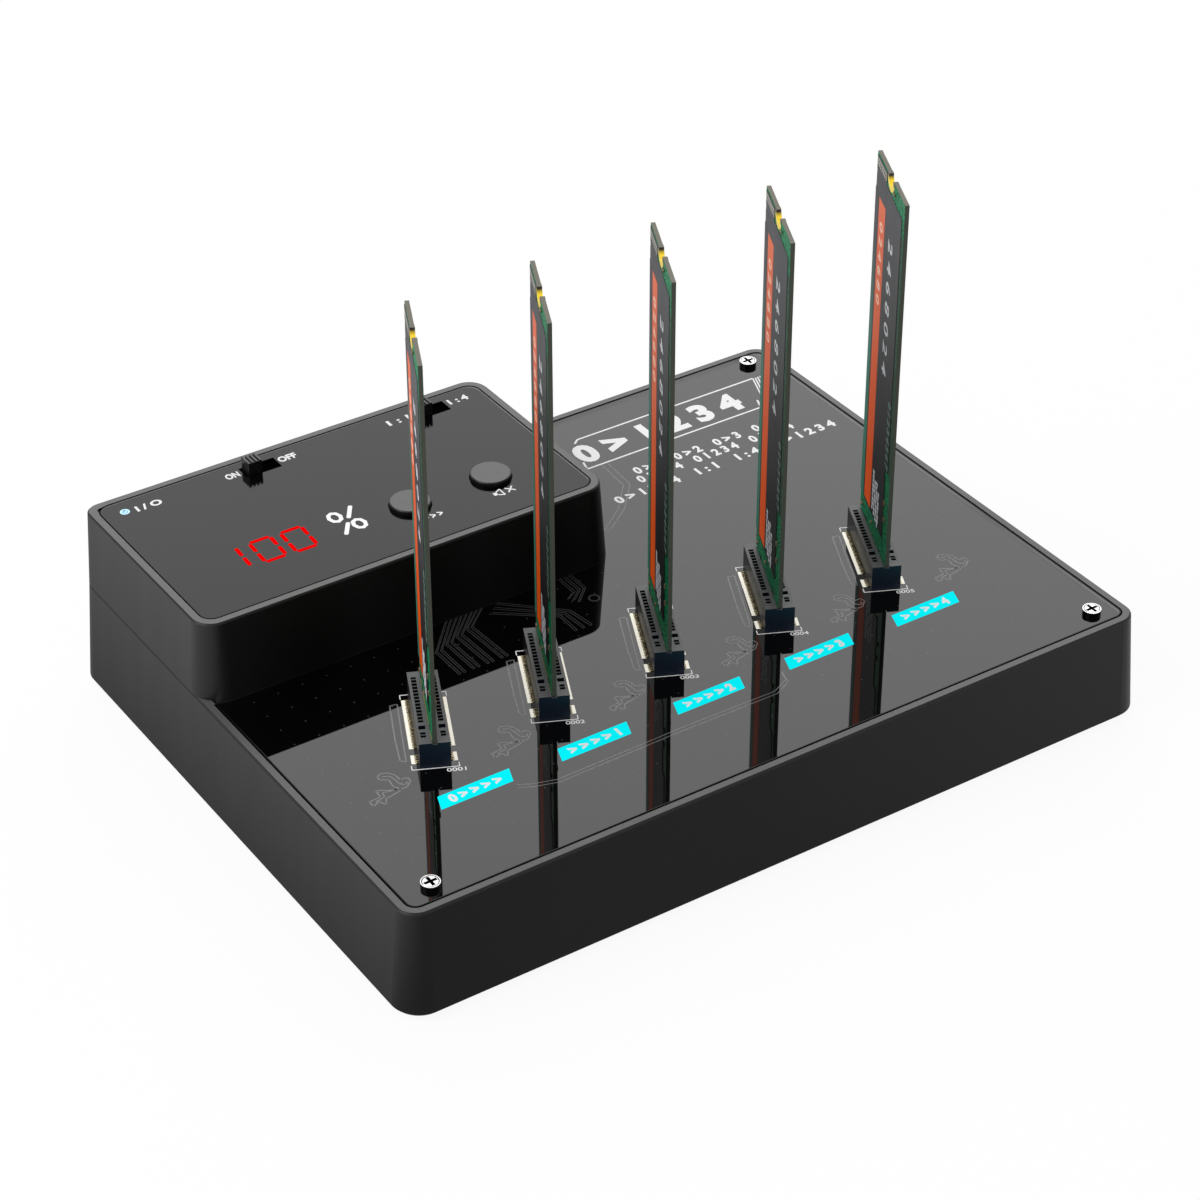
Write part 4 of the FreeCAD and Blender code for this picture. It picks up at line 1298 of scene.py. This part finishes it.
@dataclass
class Sockets:
    """Card sockets: windows over the contacts, solder tails, pads and printed outlines."""

    half_width: float = 2.825
    trough: float = 1.8
    trough_width: float = 0.95
    trough_depth: float = 3.2
    window_pitch: float = 1.03
    windows: tuple = ((-9.1, 13), (7.8, 1))
    rung: float = 0.38
    rung_bevel: float = 0.03
    tail_pitch: float = 0.515
    tail_size: Triple = (0.26, 0.72, 0.18)
    tail_lift: float = 0.01
    tail_bevel: float = 0.05
    runs: tuple = ((-9.6, 5.0), (7.25, 9.35))
    socket_height: float = 5.3
    pad_half: float = 0.245
    pad_reach: Point = (0.45, 1.33)
    outline_reach: float = 11.35
    outline_half: float = 4.25
    outline_start: float = 10.1
    outline_line: float = 0.2
    bracket: Point = (1.3, 1.5)
    figure_place: Point = (12.2, 3.6)
    figure_cap: float = 1.0
    figure_width: float = 3.5

    def _row(self, run: Point) -> tuple[int, float]:
        """Number of the tails in a run, and the middle of the first.

        Args:
            run: Where the run starts and ends.

        Returns:
            The number and the place.
        """
        first, last = run
        count = int((last - first) / self.tail_pitch) + 1
        return count, (first + last) / 2 - (count - 1) * self.tail_pitch / 2

    def _window_bars(self) -> Piece:
        """Bars between the contact windows, in the socket's frame.

        Returns:
            The mesh, in millimetres.
        """
        middle_z = self.socket_height - self.trough_depth / 2
        size = (self.rung, self.trough_width, self.trough_depth)
        rows = []
        for side in (-1, 1):
            for first, count in self.windows:
                centre = (first + self.window_pitch / 2, side * self.trough, middle_z)
                bar = bevelled_block("bar", size, centre, self.rung_bevel)
                rows.append(repeated(bar, count, (self.window_pitch, 0.0, 0.0)))
        return join(rows, "socket_bars")

    def _tails(self) -> Piece:
        """Solder tails side by side along both sides of the socket.

        Returns:
            The mesh, in millimetres.
        """
        rows = []
        length, reach, height = self.tail_size
        for side in (-1, 1):
            for run in self.runs:
                count, middle = self._row(run)
                centre = (middle, side * (self.half_width + reach / 2), height / 2 + self.tail_lift)
                tail = bevelled_block("tail", self.tail_size, centre, self.tail_bevel)
                rows.append(repeated(tail, count, (self.tail_pitch, 0.0, 0.0)))
        return join(rows, "socket_tails")

    def _pads(self) -> Piece:
        """Tinned pads under the tails.

        Returns:
            The mesh, in millimetres.
        """
        rows = []
        for side in (-1, 1):
            for run in self.runs:
                pads = Layer("pads")
                low, high = sorted(side * (self.half_width + reach) for reach in self.pad_reach)
                count, start = self._row(run)
                pads.slab(start - self.pad_half, start + self.pad_half, low, high)
                pads.repeat(count, (self.tail_pitch, 0.0))
                rows.append(pads.raise_up(FILM / 2))
        return join(rows, "socket_pads")

    def _outline(self, index: int) -> Piece:
        """Printed outline of the socket: a full near line, brackets at the far corners.

        Args:
            index: Number of the socket.

        Returns:
            The mesh, in millimetres.
        """
        lines = Layer("outline_%d" % index)
        start, reach, half = self.outline_start, self.outline_reach, self.outline_half
        lines.path([(start, -half), (reach, -half), (reach, half), (start, half)], self.outline_line)
        along, across = self.bracket
        for side in (-1, 1):
            corner = (-reach, side * half)
            points = [(-reach + along, side * half), corner, (-reach, side * (half - across))]
            lines.path(points, self.outline_line)
        drawn = lines.raise_up(FILM)
        figure = lettering("designator", "000%d" % (index + 1), self.figure_place, self.figure_cap,
                           self.figure_width, turn=90.0)
        return join([drawn, figure], "socket_outline_%d" % index)

    def build(self) -> None:
        """Model one socket's details and set them at every socket."""
        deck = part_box("main_board")[1].z

        def place(index: int) -> Matrix:
            """Frame of a socket on the deck."""
            return ROW.upright(index, deck)

        details = (Detail("socket_bars", self._window_bars(), SOCKET_BARS, "socket_black", place),
                   Detail("socket_tails", self._tails(), TIN, "contact_gold", place, instead="socket_contacts"),
                   Detail("socket_pads", self._pads(), PAD, "board_black", place))
        for index in SLOTS:
            dress_nodes(**{"socket_housing_%d" % index: SOCKET})
            for detail in details:
                detail.set_at(index)
            hand_over(settle(self._outline(index), place(index)), SILK)
        for detail in details:
            detail.drop()


@dataclass
class Cards:
    """Drive cards: label printing, small parts and gold."""

    stripe: Sides = (-7.7, -2.7, 31.9, 96.6)
    film: Sides = (-10.6, 9.4, 97.4, 100.0)
    film_slope: tuple[Point, Point, float] = ((-10.5, 100.65), (9.3, 99.45), 2.4)
    slope_share: float = 0.85
    pad_field: Sides = (-10.6, -2.9, 101.0, 103.9)
    near_film: Sides = (7.4, 9.4, 47.0, 97.38)
    near_margin: Sides = (9.42, 10.8, 47.0, 97.38)
    far_strip: Sides = (-10.9, -8.5, 31.5, 97.4)
    top_pad: Sides = (-10.3, -9.75, 102.0, 102.95)
    top_pad_count: int = 7
    top_pad_pitch: float = 1.1
    top_line: Sides = (-10.5, -3.0, 103.15, 103.45)
    large_print: tuple = ("2 4 6 8 0 2 4", (2.3, 78.5), 3.1, 27.8)
    small_print: tuple = ("0 1 2 3 4 5 6 7", (8.1, 54.6), 1.9, 14.6)
    stripe_print: tuple = ("0 2 4 6 8 0", (-5.2, 84.0), 2.3, 17.0)
    mark_first: Point = (-1.5, 32.8)
    mark_pitch: Point = (1.45, 1.0)
    mark_widths: Point = (0.7, 1.05)
    mark_height: float = 0.78
    trace_count: int = 6
    trace_pitch: float = 0.62
    trace_width: float = 0.24
    via_radius: float = 0.36
    edge_via: Point = (10.1, 31.0)
    edge_via_count: int = 9
    edge_via_pitch: float = 8.2
    trace_foot: float = 29.0
    small_part: Triple = (1.1, 0.6, 0.35)
    front_part: Triple = (1.0, 0.5, 0.3)
    part_bevel: float = 0.06
    back_rows: tuple = ((-9.0, 34.5, 6, 1.6), (1.6, 36.0, 4, 1.9), (-4.2, 72.0, 5, 1.5), (4.4, 84.0, 3, 1.7))
    front_parts: tuple = ((-9.2, 29.0), (8.3, 40.0), (-1.2, 29.6), (8.6, 36.5), (3.2, 102.5))

    def _film(self) -> Piece:
        """Dark printed field that carries on above the label and beside it.

        Returns:
            The mesh, in millimetres.
        """
        layer = Layer("upper_film")
        layer.slab(*self.film)
        layer.slab(*self.near_film)
        layer.slab(*self.pad_field)
        fields = layer.raise_up(ROW.film)
        slope = Layer("film_slope")
        slope.bar(*self.film_slope)
        return join([fields, slope.raise_up(self.slope_share * ROW.film)], "upper_film")

    def _sheet(self, name: str, sides: Sides) -> Piece:
        """One printed rectangle.

        Args:
            name: Name of the piece.
            sides: Left, right, lower and upper side.

        Returns:
            The mesh, in millimetres.
        """
        layer = Layer(name)
        layer.slab(*sides)
        return layer.raise_up(FILM)

    def _top_pads(self) -> Piece:
        """Row of small bare pads beside the notch, and a pale line over them.

        Returns:
            The mesh, in millimetres.
        """
        layer = Layer("top_pads")
        layer.slab(*self.top_pad)
        layer.repeat(self.top_pad_count, (self.top_pad_pitch, 0.0))
        layer.slab(*self.top_line)
        return layer.raise_up(FILM)

    def _print(self) -> Piece:
        """White figures that run down the label, and a block of marks at its foot.

        Returns:
            The mesh, in millimetres.
        """
        large = lettering("large", *self.large_print, turn=-90.0, bold=0.015)
        marks = Layer("marks")
        for column in range(4):
            for row in range(9 - column % 2):
                x = self.mark_first[0] + self.mark_pitch[0] * column
                y = self.mark_first[1] + self.mark_pitch[1] * (row - column / 2)
                marks.slab(x, x + self.mark_widths[(row + column) % 3 > 0], y, y + self.mark_height)
        return join([large, marks.raise_up(FILM)], "print")

    def _parts(self) -> Piece:
        """Small parts between label and socket, on the labelled face.

        Returns:
            The mesh, in millimetres.
        """
        length, width, height = self.front_part
        rows = []
        for number, (x, y) in enumerate(self.front_parts):
            size = (width, length, height) if number % 2 else self.front_part
            rows.append(bevelled_block("part", size, (x, y, height / 2), self.part_bevel))
        return join(rows, "parts")

    def _back_traces(self) -> Piece:
        """Copper under the solder mask on the card's other face, from the edge contacts upwards.

        Returns:
            The mesh, in millimetres.
        """
        layer = Layer("back_traces")
        for number in range(self.trace_count):
            shift = self.trace_pitch * number
            for start, jog, bend, top in ((-8.6 + shift, 2.6, 42.0 + 2.2 * number, 94.0 - 5.0 * number),
                                          (8.8 - shift, -2.0, 62.0 - 3.1 * number, 90.0 - 2.4 * number)):
                end = (start + jog, top)
                points = [(start, self.trace_foot), (start, bend), (end[0], bend + abs(jog)), end]
                layer.path(points, self.trace_width)
                layer.disc(end, self.via_radius, 12)
        x, y = self.edge_via
        for row in range(self.edge_via_count):
            for side in (-x, x):
                layer.disc((side, y + self.edge_via_pitch * row), self.via_radius, 12)
        return layer.raise_up(FILM)

    def _back_parts(self) -> Piece:
        """Small flat capacitors and resistors soldered to the card's other face.

        Returns:
            The mesh, in millimetres.
        """
        length, width, height = self.small_part
        rows = []
        for x, y, count, step in self.back_rows:
            part = bevelled_block("part", (width, length, height), (x, y, height / 2), 0.07)
            rows.append(repeated(part, count, (step, 0.0, 0.0)))
        return join(rows, "back_parts")

    def build(self) -> None:
        """Model one card's details and set them on every card."""
        face = ROW.film
        small = lettering("small_print", *self.small_print, turn=-90.0, bold=0.05)
        striped = lettering("stripe_print", *self.stripe_print, turn=-90.0, bold=0.035)
        details = [Detail("card_" + name, model, finish, "card_" + slot,
                          lambda index, film=film: ROW.card_face(index, film), Body.CARD)
                   for name, model, finish, slot, film in (
                       ("stripe", self._sheet("stripe", self.stripe), STRIPE, "label", face),
                       ("print", self._print(), CARD_INK, "label", face),
                       ("small_print", small, FAINT_INK, "label", face),
                       ("stripe_print", striped, PALE_INK, "label", face + FILM),
                       ("upper_film", self._film(), LABEL, "label", 0.0),
                       ("far_strip", self._sheet("far_strip", self.far_strip), FAR_STRIP, "green", face),
                       ("near_margin", self._sheet("near_margin", self.near_margin), NEAR_MARGIN,
                        "green", 0.0),
                       ("top_pads", self._top_pads(), PALE_TIN, "gold", face),
                       ("parts", self._parts(), CERAMIC, "green", 0.0))]
        details += [Detail("card_back_" + name, model, finish, "card_green", ROW.card_back, Body.CARD)
                    for name, model, finish in (("traces", self._back_traces(), CARD_COPPER),
                                                ("parts", self._back_parts(), CERAMIC))]
        for index in SLOTS:
            dress_nodes(**{"ssd_board_%d" % index: LAMINATE, "ssd_label_%d" % index: LABEL,
                           "ssd_plating_%d" % index: NOTCH_GOLD})
            for detail in details:
                detail.set_at(index)
        for detail in details:
            detail.drop()


@dataclass
class ControlHousing:
    """Control housing with its panel, keys, display and legends."""

    legend_slot: str = "panel_black"
    digit_height: float = 7.2
    digit_width: float = 4.4
    digit_lean: float = 0.055
    segment: float = 0.78
    digit_gap: float = 0.34
    digits: tuple = ((-66.35, 25.15, "bc"), (-59.1, 24.9, "abcdef"), (-52.6, 24.7, "abcdef"))
    words: tuple = (("ON", (-50.05, 54.7), 2.9), ("OFF", (-38.05, 54.7), 3.9), ("1 : 1", (-13.0, 54.6), 5.0),
                    ("1 : 4", (0.9, 54.9), 4.4), ("I / O", (-68.2, 54.3), 5.4),
                    ("> > > >", (-25.9, 21.2), 5.6))
    word_cap: float = 1.75
    mute_strokes: tuple = (((-11.0, 20.5), (-9.9, 19.9), 0.3), ((-11.0, 21.5), (-9.9, 22.1), 0.3),
                           ((-9.9, 19.9), (-9.9, 22.1), 0.3), ((-8.9, 20.2), (-7.3, 21.8), 0.32),
                           ((-8.9, 21.8), (-7.3, 20.2), 0.32))
    percent_rings: tuple = ((-41.0, 30.9), (-38.1, 26.6))
    percent_ring: tuple = (1.85, 0.78, 8, (0.85, 1.08))
    percent_bars: tuple = (((-36.5, 32.9), (-38.9, 29.3)), ((-39.7, 28.1), (-42.1, 24.6)))
    percent_line: float = 0.84
    light: tuple = ((-73.05, 54.71), 0.95, 28)
    light_ring: tuple = ((-73.05, 54.66), 0.52, 0.12, 20)
    light_bar: tuple = ((-73.05, 54.75), (-73.05, 55.35), 0.14)
    # Band of painted light and line of painted shade round the panel's recess
    rim: RimLine = RimLine("control_panel", "panel", painted_light_band=0.12, seam=0.24, gap=0.15, sink=0.25, radius=2.4)

    def _digit(self, layer: Layer, x: float, y: float, lit: str) -> None:
        """Add the lit segments of one figure.

        Args:
            layer: Layer that takes them.
            x: Left side at the figure's foot.
            y: Foot of the figure.
            lit: Letters of the lit segments, a to f from the top round to the right.
        """
        height, width, lean = self.digit_height, self.digit_width, self.digit_lean
        half, gap = height / 2, self.digit_gap

        def at(across: float, up: float) -> Point:
            """Place in the leaning figure."""
            return x + across + lean * up, y + up

        places = {
            "a": (at(gap / 2, height), at(width - gap / 2, height)),
            "d": (at(gap / 2, 0), at(width - gap / 2, 0)),
            "b": (at(width, height - gap), at(width, half + gap)),
            "c": (at(width, half - gap), at(width, gap)),
            "f": (at(0, height - gap), at(0, half + gap)),
            "e": (at(0, half - gap), at(0, gap)),
        }
        for name in lit:
            layer.bar(*places[name], self.segment, nip=self.segment * 0.3)

    def _display(self) -> None:
        """Lit figures 100 and the segmented per cent sign."""
        figures = Layer("display_digits")
        for x, y, lit in self.digits:
            self._digit(figures, x, y, lit)
        lay(figures.raise_up(FILM), "control_panel", DIGIT)
        sign = Layer("display_percent")
        for middle in self.percent_rings:
            sign.ring(middle, *self.percent_ring)
        for start, end in self.percent_bars:
            sign.bar(start, end, self.percent_line, nip=0.2)
        lay(sign.raise_up(FILM), "control_panel", PERCENT)

    def _legends(self) -> None:
        """Printed figures and signs round the keys."""
        mute = Layer("mute_sign")
        mute.slab(-11.8, -11.0, 20.5, 21.5)
        for start, end, width in self.mute_strokes:
            mute.bar(start, end, width)
        pieces = [mute.raise_up(FILM)]
        for words, at, width in self.words:
            pieces.append(lettering("words", words, at, self.word_cap, width, bold=0.04))
        lay(join(pieces, "panel_legends"), "control_panel", SILK)

    def _power_sign(self) -> None:
        """Round blue light with the usual open ring and bar."""
        light = Layer("power_light")
        light.disc(*self.light)
        lay(light.raise_up(FILM), "control_panel", POWER)
        sign = Layer("power_sign")
        sign.ring(*self.light_ring)
        sign.bar(*self.light_bar)
        lay(sign.raise_up(FILM), "control_panel", POWER_MARK, FILM)

    def build(self) -> None:
        """Dress the housing's solids and lay its legends on the panel."""
        dress_nodes(pod_cover=HOUSING, control_panel=PANEL, power_switch_knob=KNOBS, mode_switch_knob=KNOBS,
                    start_button=KEYS, mute_button=KEYS)
        # Band of painted light and line of painted shade round the panel's recess
        self.rim.draw()
        self._display()
        self._legends()
        self._power_sign()


class InnerParts:
    """What sits inside the housing and under the deck."""

    def build(self) -> None:
        """Dress the inner solids."""
        dress_nodes(control_board=GREEN_BOARD, control_board_screws=STEEL_SCREW, display_module=EPOXY,
                    power_led=POWER, buzzer=EPOXY, board_link_header=EPOXY, board_link_socket=EPOXY,
                    power_switch_body=STEEL, mode_switch_body=STEEL, start_tact_plunger=KEYS,
                    mute_tact_plunger=KEYS, tact_switch_bodies=EPOXY, interface_chips=EPOXY, capacitors=CAN)


@dataclass
class RearPorts:
    """Data receptacle and power jack in the tray's back wall."""

    tongue_x: float = 20.0
    contact_pitch: float = 0.5
    contact_count: int = 12
    contact_size: Point = (3.6, 0.25)
    contact_inset: float = 0.3

    def _tongue_contacts(self) -> None:
        """Gold contacts on both faces of the receptacle's tongue."""
        low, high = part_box("usb_c_tongue")
        length, width = self.contact_size
        start = self.tongue_x - self.contact_pitch * (self.contact_count - 1) / 2
        y1 = high.y / MM - self.contact_inset
        rows = []
        for name, turn in (("upper", 0.0), ("lower", math.pi)):
            strip = Layer("tongue_" + name)
            strip.slab(start - width / 2, start + width / 2, y1 - length, y1)
            strip.repeat(self.contact_count, (self.contact_pitch, 0.0))
            piece = strip.raise_up(FILM)
            middle = Matrix.Translation((self.tongue_x, y1, 0.0))
            flip = middle @ Matrix.Rotation(turn, 4, "Y") @ middle.inverted()
            height = high.z / MM if turn == 0.0 else low.z / MM
            pick(piece)
            piece.matrix_world = Matrix.Translation((0.0, 0.0, height)) @ flip
            bpy.ops.object.transform_apply(location=True, rotation=True, scale=True)
            rows.append(piece)
        hand_over(settle(join(rows, "tongue_contacts"), Matrix.Identity(4)), GOLD)

    def build(self) -> None:
        """Dress the ports and add the tongue's contacts."""
        dress_nodes(usb_c_shell=STEEL, usb_c_tongue=EPOXY, dc_jack=EPOXY, dc_jack_pin=STEEL)
        self._tongue_contacts()


def main() -> None:
    """Build the studio and every sub-assembly in order."""
    logging.basicConfig(level=logging.INFO, format="%(name)s: %(message)s")
    for kind in (Studio, Tray, Deck, Sockets, Cards, ControlHousing, InnerParts, RearPorts):
        kind().build()
        LOG.info("%s done", kind.__name__)
    put_down()


if __name__ == "__main__":
    main()
